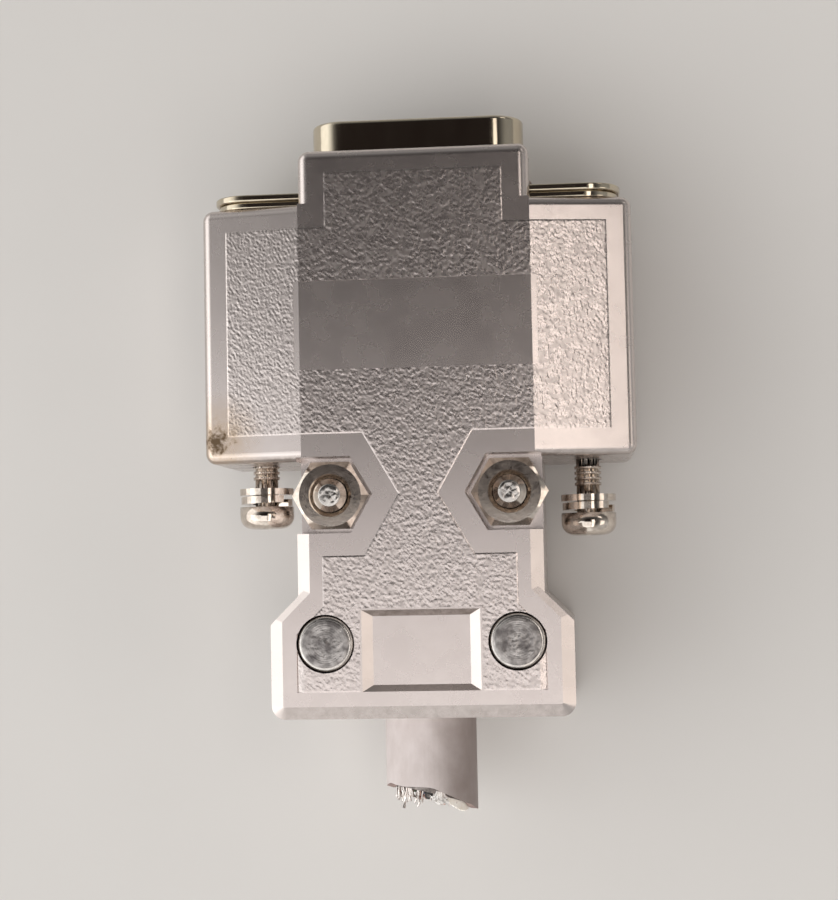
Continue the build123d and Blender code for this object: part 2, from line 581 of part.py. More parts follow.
def rear_shell():
    """Drawn rear shell: flange plate and the wider D-shaped tube behind it."""
    plate = flange_plate(FLANGE_WIDTH - 2 * REAR_PLATE_INSET, FLANGE_HEIGHT - 2 * REAR_PLATE_INSET,
                         -2 * FLANGE_PLATE, -FLANGE_PLATE)
    shell = plate + d_bar(REAR_SHELL_GROWTH, REAR_SHELL_END_Y, -2 * FLANGE_PLATE)
    return shell - d_bar(REAR_SHELL_GROWTH - SHELL_WALL, REAR_SHELL_END_Y, -FLANGE_PLATE)


def contact_places():
    """Middle of each contact, upper row first."""
    half = CONTACT_ROW_SPACING / 2
    upper = [((i - (UPPER_ROW - 1) / 2) * CONTACT_PITCH, half) for i in range(UPPER_ROW)]
    lower = [((i - (LOWER_ROW - 1) / 2) * CONTACT_PITCH, -half) for i in range(LOWER_ROW)]
    return upper + lower


def drilled(body, tool):
    """A body with the tool cut from it at every contact."""
    for x, z in contact_places():
        body -= Pos(x, 0, z) * tool
    return body


def front_insulator():
    """Moulded block with the entry holes, and its wider base inside the rear shell."""
    face_y = SHELL_REACH - INSULATOR_FACE_RECESS
    body = d_bar(-SHELL_WALL - INSULATOR_CLEARANCE, -FLANGE_PLATE, face_y)
    body += d_bar(REAR_SHELL_GROWTH - SHELL_WALL - INSULATOR_CLEARANCE, INSULATOR_SPLIT_Y, -FLANGE_PLATE)
    hole = CONTACT_RADIUS + CONTACT_HOLE_CLEARANCE
    shoulder = CONTACT_SHOULDER_RADIUS + CONTACT_HOLE_CLEARANCE
    bore = [(0, INSULATOR_SPLIT_Y), (shoulder, INSULATOR_SPLIT_Y), (shoulder, CONTACT_SHOULDER_FRONT_Y),
            (hole, CONTACT_SHOULDER_FRONT_Y), (hole, CONTACT_FRONT_Y),
            (CONTACT_ENTRY_RADIUS, CONTACT_FRONT_Y), (CONTACT_ENTRY_RADIUS, face_y - CONTACT_ENTRY_FLARE),
            (CONTACT_ENTRY_RADIUS + CONTACT_ENTRY_FLARE, face_y), (0, face_y)]
    return drilled(body, turned(bore))


def rear_insulator():
    """Moulded block that closes in the contacts from behind."""
    body = d_bar(REAR_SHELL_GROWTH - SHELL_WALL - INSULATOR_CLEARANCE, REAR_SHELL_END_Y, INSULATOR_SPLIT_Y)
    hole = CONTACT_RADIUS + CONTACT_HOLE_CLEARANCE
    shoulder = CONTACT_SHOULDER_RADIUS + CONTACT_HOLE_CLEARANCE
    shoulder_end = CONTACT_SHOULDER_FRONT_Y - CONTACT_SHOULDER
    bore = [(0, REAR_SHELL_END_Y), (hole, REAR_SHELL_END_Y), (hole, shoulder_end),
            (shoulder, shoulder_end), (shoulder, INSULATOR_SPLIT_Y), (0, INSULATOR_SPLIT_Y)]
    return drilled(body, turned(bore))


def contact(x, z):
    """Turned socket: slotted barrel, shoulder, and a solder cup that opens away from its row's side."""
    shoulder_end = CONTACT_SHOULDER_FRONT_Y - CONTACT_SHOULDER
    outline = [(0, CUP_REAR_Y), (CUP_RADIUS, CUP_REAR_Y), (CUP_RADIUS, CUP_FRONT_Y),
               (CONTACT_RADIUS, CUP_FRONT_Y), (CONTACT_RADIUS, shoulder_end),
               (CONTACT_SHOULDER_RADIUS, shoulder_end), (CONTACT_SHOULDER_RADIUS, CONTACT_SHOULDER_FRONT_Y),
               (CONTACT_RADIUS, CONTACT_SHOULDER_FRONT_Y), (CONTACT_RADIUS, CONTACT_FRONT_Y),
               (0, CONTACT_FRONT_Y)]
    body = turned(outline)
    body -= rod(CONTACT_BORE_RADIUS, 0, 0, CONTACT_FRONT_Y - CONTACT_BORE_DEPTH, CONTACT_FRONT_Y)
    body -= rod(CUP_BORE_RADIUS, 0, 0, CUP_REAR_Y, CUP_REAR_Y + CUP_BORE_DEPTH)
    half_slot = CONTACT_SLOT_WIDTH / 2
    body -= block((-half_slot, half_slot), (CONTACT_FRONT_Y - CONTACT_SLOT_DEPTH, CONTACT_FRONT_Y),
                  (-CONTACT_RADIUS, CONTACT_RADIUS))
    outward = (0, CUP_RADIUS) if z > 0 else (-CUP_RADIUS, 0)
    body -= block((-CUP_RADIUS, CUP_RADIUS), (CUP_REAR_Y, CUP_REAR_Y + CUP_OPEN_LENGTH), outward)
    return Pos(x, 0, z) * body


# Cable and clamp.

def cut_plane():
    """Slanted plane on which the cable was cut off, facing the connector."""
    return Plane(origin=(0, CUT_Y, 0), z_dir=(-CUT_SLOPE_X, 1, -CUT_SLOPE_Z))


def cut_off(solid):
    """What is left of a solid on the connector's side of the cut."""
    return split(solid, bisect_by=cut_plane(), keep=Keep.TOP)


def tube(outer, inner, front):
    """Tube along the cable, from its front end to well past the cut."""
    ring = Plane.XZ * (Circle(outer) - Circle(inner))
    return Pos(0, front, 0) * extrude(ring, amount=front - UNCUT_END_Y)


def cable_jacket():
    """Outer jacket, from inside the clamp to the cut."""
    return cut_off(tube(CABLE_RADIUS, JACKET_INNER_RADIUS, JACKET_FRONT_Y))


def cable_braid():
    """Woven screen under the jacket."""
    return cut_off(tube(BRAID_RADIUS, BRAID_RADIUS - BRAID_WALL, JACKET_FRONT_Y + BRAID_PROUD))


def wire_places():
    """Place of each wire in the cable, in the order of the contacts."""
    ring = [math.radians(22.5 + 45 * i) for i in range(8)]
    spots = [(WIRE_RING_RADIUS * math.cos(a), WIRE_RING_RADIUS * math.sin(a)) for a in ring]
    upper = [spots[3], spots[2], (0.0, 0.0), spots[1], spots[0]]
    return upper + [spots[4], spots[5], spots[6], spots[7]]


def wire(contact_place, cable_place):
    """One insulated wire, with its bare end in its solder cup, down to the cut."""
    (x, z), (cable_x, cable_z) = contact_place, cable_place
    start_y = CUP_REAR_Y - WIRE_CUP_GAP
    path = FilletPolyline((x, start_y, z), (x, WIRE_SPREAD_Y, z), (cable_x, WIRE_GATHER_Y, cable_z),
                          (cable_x, UNCUT_END_Y, cable_z), radius=WIRE_BEND_RADIUS)
    section = Plane(origin=(x, start_y, z), z_dir=(0, -1, 0)) * Circle(WIRE_RADIUS)
    insulation = cut_off(sweep(section, path=path))
    bare = rod(WIRE_BARE_RADIUS, x, z, start_y - WIRE_RADIUS, start_y + WIRE_BARE_LENGTH)
    return insulation + bare


def clamp_post(side):
    """Turned post that joins the castings and carries the saddles."""
    top_z = HALF_THICKNESS - POST_TOP_BELOW_FACE
    body = post(POST_RADIUS, side * POST_X, POST_Y, post_foot_z(), top_z)
    return fillet(body.edges().sort_by(Axis.Z)[-1], POST_EDGE_RADIUS)


def clamp_saddle(upward):
    """Strip arched over one half of the cable, with an eye for each post."""
    rear, front = POST_Y - SADDLE_WIDTH / 2, POST_Y + SADDLE_WIDTH / 2
    strip = Pos(0, POST_Y, SADDLE_EAR_GAP) * SlotCenterToCenter(2 * POST_X, SADDLE_WIDTH)
    ears = extrude(strip, amount=SADDLE_THICKNESS)
    upper_half = block((-FAR, FAR), (-FAR, FAR), (SADDLE_EAR_GAP, FAR))
    arch = rod(SADDLE_OUTER_RADIUS, 0, 0, rear, front) & upper_half
    saddle = ears + arch - rod(SADDLE_INNER_RADIUS, 0, 0, rear, front)
    saddle -= mirrored(post(POST_RADIUS + SADDLE_POST_CLEARANCE, POST_X, POST_Y, 0, FAR))
    return saddle if upward else mirror(saddle, about=Plane.XY)


def build_parts():
    """Every piece by name."""
    parts = {"hood_front": hood_front(), "hood_rear": hood_rear(),
             "mating_shell": mating_shell(), "rear_shell": rear_shell(),
             "front_insulator": front_insulator(), "rear_insulator": rear_insulator(),
             "cable_jacket": cable_jacket(), "cable_braid": cable_braid(),
             "clamp_saddle_front": clamp_saddle(True), "clamp_saddle_rear": clamp_saddle(False)}
    for name, side in (("left", -1), ("right", 1)):
        parts[f"hex_nut_{name}"] = hex_nut(side)
        parts[f"hood_screw_{name}"] = hood_screw(side)
        parts[f"jack_screw_{name}"] = jack_screw(side)
        parts[f"jack_flat_washer_{name}"] = jack_flat_washer(side)
        parts[f"jack_spring_washer_{name}"] = jack_spring_washer(side)
        parts[f"clamp_post_{name}"] = clamp_post(side)
    for number, (place, end) in enumerate(zip(contact_places(), wire_places()), start=1):
        parts[f"contact_{number}"] = contact(*place)
        parts[f"wire_{number}"] = wire(place, end)
    return parts


os.makedirs("parts", exist_ok=True)
for part_name, part_shape in build_parts().items():
    export_step(part_shape, f"parts/{part_name}.step")
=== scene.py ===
"""Looks of a nine-way D-sub cable connector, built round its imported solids.

Sizes are in millimetres and become metres where they enter Blender. The frame is the solids'
own: +Y points out towards the mate, +X across, +Z out of the face with the hexagon nuts.
"""
import logging
import math
from dataclasses import dataclass
from enum import Enum
from functools import partial
from typing import Any, Callable, Iterable, Sequence

import bmesh
import bpy
import numpy as np
from mathutils import Matrix, Vector


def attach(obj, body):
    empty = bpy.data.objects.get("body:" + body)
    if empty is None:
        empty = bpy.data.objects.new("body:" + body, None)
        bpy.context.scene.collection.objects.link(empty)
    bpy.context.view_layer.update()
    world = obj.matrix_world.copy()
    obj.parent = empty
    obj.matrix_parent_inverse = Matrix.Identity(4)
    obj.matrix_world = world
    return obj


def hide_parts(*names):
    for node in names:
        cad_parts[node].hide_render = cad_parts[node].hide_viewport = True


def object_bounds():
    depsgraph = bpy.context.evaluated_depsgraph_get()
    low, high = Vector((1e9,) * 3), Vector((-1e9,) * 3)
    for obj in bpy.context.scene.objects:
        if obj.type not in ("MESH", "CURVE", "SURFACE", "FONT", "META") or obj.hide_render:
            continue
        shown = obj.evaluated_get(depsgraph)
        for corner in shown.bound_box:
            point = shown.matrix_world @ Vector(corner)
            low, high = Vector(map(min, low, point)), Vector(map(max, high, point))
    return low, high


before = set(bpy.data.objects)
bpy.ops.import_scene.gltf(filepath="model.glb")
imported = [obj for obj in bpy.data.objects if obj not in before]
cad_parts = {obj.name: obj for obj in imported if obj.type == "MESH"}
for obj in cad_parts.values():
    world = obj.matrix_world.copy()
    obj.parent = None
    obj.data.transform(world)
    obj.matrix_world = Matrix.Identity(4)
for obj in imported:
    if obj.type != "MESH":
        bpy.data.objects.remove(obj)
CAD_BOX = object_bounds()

MM = 0.001
LOG = logging.getLogger("connector")
Node = bpy.types.Node
Socket = bpy.types.NodeSocket
Piece = bpy.types.Object
Vert = bmesh.types.BMVert
Span = tuple[float, float]
Triple = tuple[float, float, float]
Colour = tuple[float, float, float, float]
Outline = Sequence[Span]
# X, Z, length and aim of a strand that grows out of the cable's cut.
Strand = tuple[float, float, float, Triple]
# Where a value starts and stops to change, and what it is there.
Ramp = tuple[float, float, float, float]


class Named(Enum):
    """A choice that the nodes spell in small letters."""

    @property
    def word(self) -> str:
        """The name as the nodes spell it."""
        return self.name.lower()


class Side(Named):
    """The two sides of the connector, seen from above with the mate at the top."""

    LEFT = -1
    RIGHT = 1


class Face(Named):
    """The two large faces of the hood."""

    FRONT = 1
    REAR = -1


# Helpers for nodes and meshes.

def linear(colour: str) -> Colour:
    """Turns an sRGB hex colour into linear values.

    Args:
        colour: six hex digits after a number sign.

    Returns:
        Linear red, green, blue and an alpha of one.
    """
    parts = [int(colour[i:i + 2], 16) / 255 for i in (1, 3, 5)]
    red, green, blue = (c / 12.92 if c <= 0.04045 else ((c + 0.055) / 1.055) ** 2.4 for c in parts)
    return red, green, blue, 1.0


def add_node(tree: bpy.types.NodeTree, kind: str, values: dict[Any, Any] | Sequence[Any] = (),
             **settings: Any) -> Node:
    """Adds one node, with its settings and what its inputs hold.

    Args:
        tree: shader or geometry tree that gets the node.
        kind: the node's type name.
        values: for each input, by name or index or in order from the first, a value, the socket that feeds it,
            or a node whose first output does.
        settings: the node's own properties.

    Returns:
        The new node.
    """
    node = tree.nodes.new(kind)
    for name, value in settings.items():
        setattr(node, name, value)
    for key, value in values.items() if isinstance(values, dict) else enumerate(values):
        if isinstance(value, Node):
            value = value.outputs[0]
        if isinstance(value, Socket):
            tree.links.new(value, node.inputs[key])
        else:
            node.inputs[key].default_value = value
    return node


def placed(name: str, mesh: bpy.types.Mesh) -> Piece:
    """Makes an object of a mesh.

    Args:
        name: the object's name.
        mesh: its mesh, which already holds its place.

    Returns:
        An object at the origin, linked to the scene.
    """
    piece = bpy.data.objects.new(name, mesh)
    bpy.context.collection.objects.link(piece)
    return piece


def finished(name: str, work: bmesh.types.BMesh, smooth: bool = True) -> Piece:
    """Turns worked geometry in millimetres into an object in metres, with its normals outwards.

    Args:
        name: the piece's name.
        work: geometry, which is freed.
        smooth: whether its faces are shaded smooth.

    Returns:
        An object at the origin, linked to the scene.
    """
    bmesh.ops.remove_doubles(work, verts=work.verts, dist=1e-4)
    bmesh.ops.recalc_face_normals(work, faces=work.faces)
    bmesh.ops.scale(work, vec=(MM, MM, MM), verts=work.verts)
    mesh = bpy.data.meshes.new(name)
    work.to_mesh(mesh)
    work.free()
    mesh.polygons.foreach_set("use_smooth", [smooth] * len(mesh.polygons))
    return placed(name, mesh)


def turns(count: int) -> list[Span]:
    """Cosine and sine of evenly spaced turns of a full circle."""
    return [(math.cos(2 * math.pi * i / count), math.sin(2 * math.pi * i / count)) for i in range(count)]


def skin(work: bmesh.types.BMesh, rings: Sequence[Sequence[Vert]], open_start: bool = False) -> None:
    """Joins each closed ring of points to the next one by a band of faces, and closes both ends.

    Args:
        work: geometry that holds the rings.
        rings: rings with the same number of points.
        open_start: whether the first ring is left open.
    """
    for last, ring in zip(rings, rings[1:]):
        for i in range(len(ring)):
            work.faces.new([last[i - 1], last[i], ring[i], ring[i - 1]])
    work.faces.new(rings[-1])
    if not open_start:
        work.faces.new(rings[0][::-1])


def coat(piece: Piece, material: bpy.types.Material) -> None:
    """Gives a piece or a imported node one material, in its material slots.

    Args:
        piece: what gets the material.
        material: its finish.
    """
    if not piece.material_slots:
        piece.data.materials.append(material)
    for slot in piece.material_slots:
        slot.material = material


def seat(piece: Piece, body: str, slot: str) -> None:
    """Lets a piece ride on a body.

    Args:
        piece: an added piece.
        body: the body that carries it.
        slot: not used.
    """
    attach(piece, body)
    LOG.info("%s rides on %s, %d faces", piece.name, body, len(piece.data.polygons))


class Recipe:
    """A Geometry Nodes tree with named inputs, which is run once to give a plain mesh."""

    def __init__(self, name: str, sizes: dict[str, float]) -> None:
        """Starts a tree.

        Args:
            name: the tree's name.
            sizes: its number inputs with their values.
        """
        self.tree = bpy.data.node_groups.new(name, "GeometryNodeTree")
        self.add: Callable[..., Node] = partial(add_node, self.tree)
        face = self.tree.interface
        face.new_socket(name="Geometry", in_out="INPUT", socket_type="NodeSocketGeometry")
        face.new_socket(name="Geometry", in_out="OUTPUT", socket_type="NodeSocketGeometry")
        self.keys = {}
        for label, value in sizes.items():
            socket = face.new_socket(name=label, in_out="INPUT", socket_type="NodeSocketFloat")
            socket.default_value = value
            self.keys[label] = socket.identifier
        finish = face.new_socket(name="Finish", in_out="INPUT", socket_type="NodeSocketMaterial")
        self.keys["Finish"] = finish.identifier
        self.inputs = self.tree.nodes.new("NodeGroupInput").outputs

    def end(self, geometry: Node) -> "Recipe":
        """Ends the tree with real geometry in its finish.

        Args:
            geometry: the node that makes what the recipe is for.

        Returns:
            The recipe itself.
        """
        smooth = self.add("GeometryNodeSetShadeSmooth", {"Geometry": geometry})
        real = self.add("GeometryNodeRealizeInstances", {"Geometry": smooth})
        painted = self.add("GeometryNodeSetMaterial", {"Geometry": real, "Material": self.inputs["Finish"]})
        self.add("NodeGroupOutput", {"Geometry": painted})
        return self

    def run(self, name: str, start: Piece, material: bpy.types.Material, sizes: dict[str, float]) -> Piece:
        """Runs the tree on an object and keeps the result as a plain mesh.

        Args:
            name: the new piece's name.
            start: object that the tree starts from, which is deleted.
            material: the piece's finish.
            sizes: inputs that differ from the tree's own values.

        Returns:
            The new piece, with no modifier on it.
        """
        modifier = start.modifiers.new("recipe", "NODES")
        modifier.node_group = self.tree
        modifier[self.keys["Finish"]] = material
        for label, value in sizes.items():
            modifier[self.keys[label]] = value
        bpy.context.view_layer.update()
        shown = start.evaluated_get(bpy.context.evaluated_depsgraph_get())
        mesh = bpy.data.meshes.new_from_object(shown)
        start.modifiers.clear()
        bpy.data.objects.remove(start)
        mesh.name = name
        piece = placed(name, mesh)
        coat(piece, material)
        return piece


# Finishes.

# Levels of the clouded noise between which a finish changes its colour, and its roughness.
COLOUR_LEVELS = (0.35, 0.65)
ROUGHNESS_LEVELS = (0.3, 0.7)


@dataclass
class Surface:
    """What a material's nodes give so far, and the function that adds one more node."""

    add: Callable[..., Node]
    place: Socket
    colour: Socket
    roughness: Node
    height: Node


@dataclass(frozen=True)
class Finish:
    """A real material with the way its surface was made.

    Every finish has a soft mottling between two colours, and a fine relief in its normals.
    Pitches are the real distance from one spot of the pattern to the next.
    """

    name: str
    colour: str
    second: str
    metallic: float = 0.0
    roughness: float = 0.5
    roughness_spread: float = 0.08
    mottle_pitch: float = 2.0
    relief_pitch: float = 0.3
    relief_height: float = 0.004
    stretch: Triple = (1.0, 1.0, 1.0)

    def material(self) -> bpy.types.Material:
        """Builds the material's nodes.

        Returns:
            A new material.
        """
        material = bpy.data.materials.new(self.name)
        material.use_nodes = True
        material.node_tree.nodes.clear()
        add = partial(add_node, material.node_tree)
        place = add("ShaderNodeTexCoord").outputs["Object"]
        drawn = add("ShaderNodeVectorMath", (place, self.stretch), operation="MULTIPLY")
        cloud = add("ShaderNodeTexNoise", {"Vector": drawn, "Scale": 1 / (self.mottle_pitch * MM), "Detail": 4.0,
                                           "Roughness": 0.6})
        sharp = add("ShaderNodeMapRange", (cloud, *COLOUR_LEVELS))
        colour = add("ShaderNodeMix", {0: sharp, 6: linear(self.colour), 7: linear(self.second)}, data_type="RGBA")
        fine = add("ShaderNodeTexNoise", {"Vector": drawn, "Scale": 1 / (self.relief_pitch * MM), "Detail": 3.0})
        roughness = add("ShaderNodeMapRange", (cloud, *ROUGHNESS_LEVELS, self.roughness - self.roughness_spread,
                                               self.roughness + self.roughness_spread))
        surface = Surface(add, place, colour.outputs[2], roughness, fine)
        self.wear(surface)
        bump = add("ShaderNodeBump", {"Height": surface.height, "Distance": self.relief_height * MM, "Strength": 1.0})
        shader = add("ShaderNodeBsdfPrincipled", {"Base Color": surface.colour, "Metallic": self.metallic,
                                                  "Roughness": surface.roughness, "Normal": bump})
        self.polish(shader)
        add("ShaderNodeOutputMaterial", (shader,))
        return material

    def wear(self, surface: Surface) -> None:
        """Adds what is special to one finish to its colour, roughness or height."""

    def polish(self, shader: Node) -> None:
        """Sets what is the same all over the surface."""


@dataclass(frozen=True)
class SatinNickelCasting(Finish):
    """Zinc die casting under satin nickel plate: soft broad reflections, brown where the plate has gone.

    The stain and the paler wash round it are discs with a ragged edge. Their spans are shares of the radius.
    """

    ragged_pitch: float = 0.7
    stain: str = "#4E3A20"
    stain_place: Triple = (-15.2, -18.6, 6.5)
    stain_radius: float = 2.3
    stain_strength: float = 0.62
    stain_edge: Ramp = (0.82, 1.02, 0.0, 0.85)
    stain_dullness: float = 0.4
    wash: str = "#B08A48"
    wash_edge: Ramp = (0.4, 1.7, 0.75, 0.0)
    speck: str = "#3A2F28"
    speck_pitch: float = 2.6
    speck_radius: float = 0.07
    speck_core: float = 0.4
    speck_share: float = 0.7
    # Colour of the painted shade on upper faces towards the cable.
    grime: str = "#5E5146"
    grime_share: float = 1.2
    # How far a surface faces the cable, and its height, where the painted shade starts and where it is full.
    grime_facing: Span = (-0.25, -0.8)
    grime_level: Span = (5.2, 6.8)
    grime_below: float = 0.08

    def wear(self, surface: Surface) -> None:
        """Adds the brown corner of the left wing, dark specks, and painted shade on upper faces towards -Y.

        Args:
            surface: what the nodes give so far, which is changed.
        """
        add, place = surface.add, surface.place
        spot = tuple(at * MM for at in self.stain_place)
        away = add("ShaderNodeVectorMath", (place, spot), operation="DISTANCE").outputs["Value"]
        ragged = add("ShaderNodeTexNoise", {"Vector": place, "Scale": 1 / (self.ragged_pitch * MM), "Detail": 5.0,
                                            "Roughness": 0.7})
        radius = self.stain_radius * MM
        near = add("ShaderNodeMapRange", (away, 0.0, radius, self.stain_strength, 0.0))
        rust = add("ShaderNodeMath", (near, ragged), operation="ADD")
        rust = add("ShaderNodeMapRange", (rust, *self.stain_edge))
        first, last, *shares = self.wash_edge
        pale = add("ShaderNodeMapRange", (away, first * radius, last * radius, *shares))
        pale = add("ShaderNodeMath", (pale, ragged), operation="MULTIPLY")
        spots = add("ShaderNodeTexVoronoi", {"Vector": place, "Scale": 1 / (self.speck_pitch * MM), "Randomness": 1.0})
        edge = self.speck_radius / self.speck_pitch
        dirt = add("ShaderNodeMapRange", (spots, edge, self.speck_core * edge, 0.0, self.speck_share))
        # Painted shade: upper faces that face the cable, -Y, are darkened by their normal.
        facing = add("ShaderNodeSeparateXYZ", (add("ShaderNodeNewGeometry").outputs["Normal"],)).outputs[1]
        low = add("ShaderNodeMapRange", (facing, *self.grime_facing, 0.0, self.grime_share))
        level = add("ShaderNodeSeparateXYZ", (place,)).outputs[2]
        upper = add("ShaderNodeMapRange", (level, *(z * MM for z in self.grime_level), self.grime_below, 1.0))
        low = add("ShaderNodeMath", (low, upper), operation="MULTIPLY")
        low = add("ShaderNodeMath", (low, ragged), operation="MULTIPLY", use_clamp=True)
        for share, colour in ((low, self.grime), (dirt, self.speck), (pale, self.wash), (rust, self.stain)):
            mixed = add("ShaderNodeMix", {0: share, 6: surface.colour, 7: linear(colour)}, data_type="RGBA")
            surface.colour = mixed.outputs[2]
        surface.roughness = add("ShaderNodeMath", (rust, self.stain_dullness, surface.roughness),
                                operation="MULTIPLY_ADD")


@dataclass(frozen=True)
class TurnedSteel(Finish):
    """Round bar, faced on a lathe: fine rings about an upright axis on each side of the middle."""

    axis: Span = (7.07, -33.81)
    ring_pitch: float = 0.16
    ring_share: float = 0.12

    def wear(self, surface: Surface) -> None:
        """Adds the rings of the cutting tool to the relief.

        Args:
            surface: what the nodes give so far, which is changed.
        """
        add = surface.add
        x, y = self.axis
        folded = add("ShaderNodeVectorMath", (surface.place,), operation="ABSOLUTE")
        flat = add("ShaderNodeVectorMath", (folded, (1.0, 1.0, 0.0)), operation="MULTIPLY")
        reach = add("ShaderNodeVectorMath", (flat, (x * MM, -y * MM, 0.0)), operation="DISTANCE").outputs["Value"]
        turn = add("ShaderNodeMath", (reach, 2 * math.pi / (self.ring_pitch * MM)), operation="MULTIPLY")
        rings = add("ShaderNodeMath", (turn,), operation="SINE")
        surface.height = add("ShaderNodeMath", (rings, self.ring_share, surface.height), operation="MULTIPLY_ADD")


@dataclass(frozen=True)
class SoftVinyl(Finish):
    """Extruded or moulded vinyl: matt, with a weak even gloss, and on one flank grime together with painted shade."""

    sheen: float = 0.0
    grime: str = ""
    # X between which the grime and painted shade grow, and the size of their patches, by which their edge strays.
    grime_span: Span = (-0.6, 3.6)
    grime_pitch: float = 2.4
    grime_share: float = 0.85
    ior: float = 1.52
    gloss: float = 0.35

    def wear(self, surface: Surface) -> None:
        """Adds the grime and the painted shade with it, which grow towards +X.

        Args:
            surface: what the nodes give so far, which is changed.
        """
        if not self.grime:
            return
        add, pitch = surface.add, self.grime_pitch
        x = add("ShaderNodeSeparateXYZ", (surface.place,))
        patchy = add("ShaderNodeTexNoise", {"Vector": surface.place, "Scale": 1 / (pitch * MM), "Detail": 5.0})
        shift = add("ShaderNodeMath", (patchy, pitch * MM, x), operation="MULTIPLY_ADD")
        first, last = ((x_from + pitch / 2) * MM for x_from in self.grime_span)
        share = add("ShaderNodeMapRange", (shift, first, last, 0.0, self.grime_share), interpolation_type="SMOOTHSTEP")
        # Towards +X the vinyl darkens: partly real grime, partly painted shade on the flank away from the light.
        mixed = add("ShaderNodeMix", {0: share, 6: surface.colour, 7: linear(self.grime)}, data_type="RGBA")
        surface.colour = mixed.outputs[2]

    def polish(self, shader: Node) -> None:
        """Sets the weak gloss of vinyl.

        Args:
            shader: the material's shader.
        """
        shader.inputs["IOR"].default_value = self.ior
        shader.inputs["Specular IOR Level"].default_value = self.gloss
        shader.inputs["Sheen Weight"].default_value = self.sheen


# Die-cast zinc with satin nickel: the eye gets a soft grey metal, a little warm, faintly clouded.
CASTING = SatinNickelCasting("nickel_plated_die_cast_zinc", "#D0C7C3", "#CCC3BF", 1.0, 0.27, 0.015, 2.6, 0.5, 0.0006)
# The same casting where the die was etched: finely pitted on and between its slanted ridges.
GRAINED_CASTING = SatinNickelCasting("nickel_plated_zinc_with_etched_grain", "#D3CAC6", "#C8BFBB", 1.0, 0.27, 0.03, 0.6,
                                     0.12, 0.006, grime_share=0.0)
# Drawn sheet steel with bright nickel: tight reflections with faint drawing marks along the draw.
DRAWN_STEEL = Finish("nickel_plated_drawn_steel", "#CFC5B2", "#BDB29E", 1.0, 0.13, 0.05, 2.5, 0.35, 0.003,
                     (1.0, 0.3, 1.0))
# Cold-headed steel with bright nickel: yellowish highlights and small handling marks.
BRIGHT_STEEL = Finish("nickel_plated_cold_headed_steel", "#DDD3C8", "#BFB3A8", 1.0, 0.12, 0.04, 0.5, 0.3, 0.0014)
# Bare bar steel, tumbled bright: the posts' rounded rims and the screws' cut tips.
TUMBLED_STEEL = Finish("tumbled_bare_bar_steel", "#C9C5C0", "#A9A5A1", 1.0, 0.24, 0.08, 0.6, 0.2, 0.004)
# Cut end of bar steel: grey and blotched, with faint rings.
BARE_STEEL = TurnedSteel("faced_bare_bar_steel", "#ADA9A6", "#6C6867", 1.0, 0.36, 0.1, 0.8, 0.16, 0.012)
# Glass-filled nylon, moulded black: dull with a faint orange peel.
BLACK_RESIN = Finish("moulded_black_nylon", "#1B1B1C", "#232324", 0.0, 0.5, 0.08, 1.5, 0.12, 0.004)
# Gold over turned brass: deep yellow, smooth.
GOLD = Finish("gold_plated_turned_brass", "#D9B25A", "#C89B45", 1.0, 0.2, 0.05, 0.8, 0.1, 0.001)
# Cable jacket: extruded vinyl, warm light grey, matt, with brownish grime on its right flank that also darkens it as
# painted shade.
JACKET = SoftVinyl("extruded_grey_vinyl", "#D6CDCB", "#CAC0BD", 0.0, 0.55, 0.06, 1.6, 0.12, 0.008, (1.0, 0.6, 1.0), 0.1,
                   "#7D6F69")
# Cut face of the jacket: dull, reddish brown, partly its own tone and partly painted shade under the torn edge.
CUT_VINYL_WITH_PAINTED_SHADE = SoftVinyl("cut_vinyl", "#A08C85", "#86736E", 0.0, 0.7, 0.06, 0.5, 0.1, 0.01)
# Screen of tinned copper wire: bright thin threads.
TINNED_COPPER = Finish("tinned_copper_wire", "#EFEBE7", "#D8CFCA", 1.0, 0.32, 0.08, 0.4, 0.1, 0.002)
# Fine copper wire inside the insulation: pinkish, bright where it was cut.
COPPER = Finish("cut_copper_strand", "#E4C3B6", "#CBA396", 1.0, 0.3, 0.08, 0.3, 0.08, 0.002)
# Woven screen seen at its cut: the same wire, darkened as painted shade for the shadow under the jacket's edge and
# between the woven wires.
WOVEN_COPPER_IN_PAINTED_SHADE = Finish("woven_tinned_copper", "#8F8884", "#5F5A57", 1.0, 0.45, 0.08, 0.3, 0.15, 0.02)
# Paper wrap between the screen and the jacket: cream, matt.
WRAP = SoftVinyl("cream_paper_wrap", "#FFFDF6", "#F6EFE2", 0.0, 0.7, 0.05, 0.5, 0.1, 0.006)
# Zinc-plated strip of the clamp: pale bluish, dull.
ZINC_STRIP = Finish("zinc_plated_steel_strip", "#B7B9BA", "#A3A5A8", 1.0, 0.38, 0.08, 1.2, 0.2, 0.004)
# Cotton filler in the cable: white, fluffy.
FILLER = SoftVinyl("white_cotton_filler", "#FFFEFC", "#F6F3EE", 0.0, 0.85, 0.05, 0.3, 0.07, 0.03, (1.0, 0.4, 1.0), 0.3)
# Insulation of the bent wire: matt black vinyl.
BLACK_VINYL = SoftVinyl("wire_vinyl_black", "#3A3938", "#2C2B2B", 0.0, 0.45, 0.08, 0.4, 0.1, 0.004)
# Matt painted board under the connector: even, pale and slightly warm.
BOARD = Finish("matt_painted_board", "#DDDBD8", "#DAD8D5", 0.0, 0.8, 0.05, 60.0, 1.5, 0.01)

# Insulation of the nine wires, in the order of their contacts.
WIRE_COLOURS = ("#2A2626", "#5B3A28", "#8E2B24", "#B5622A", "#E2DED4", "#3E5F3E", "#33507A", "#6B4A72", "#8A8682")


# Hood.

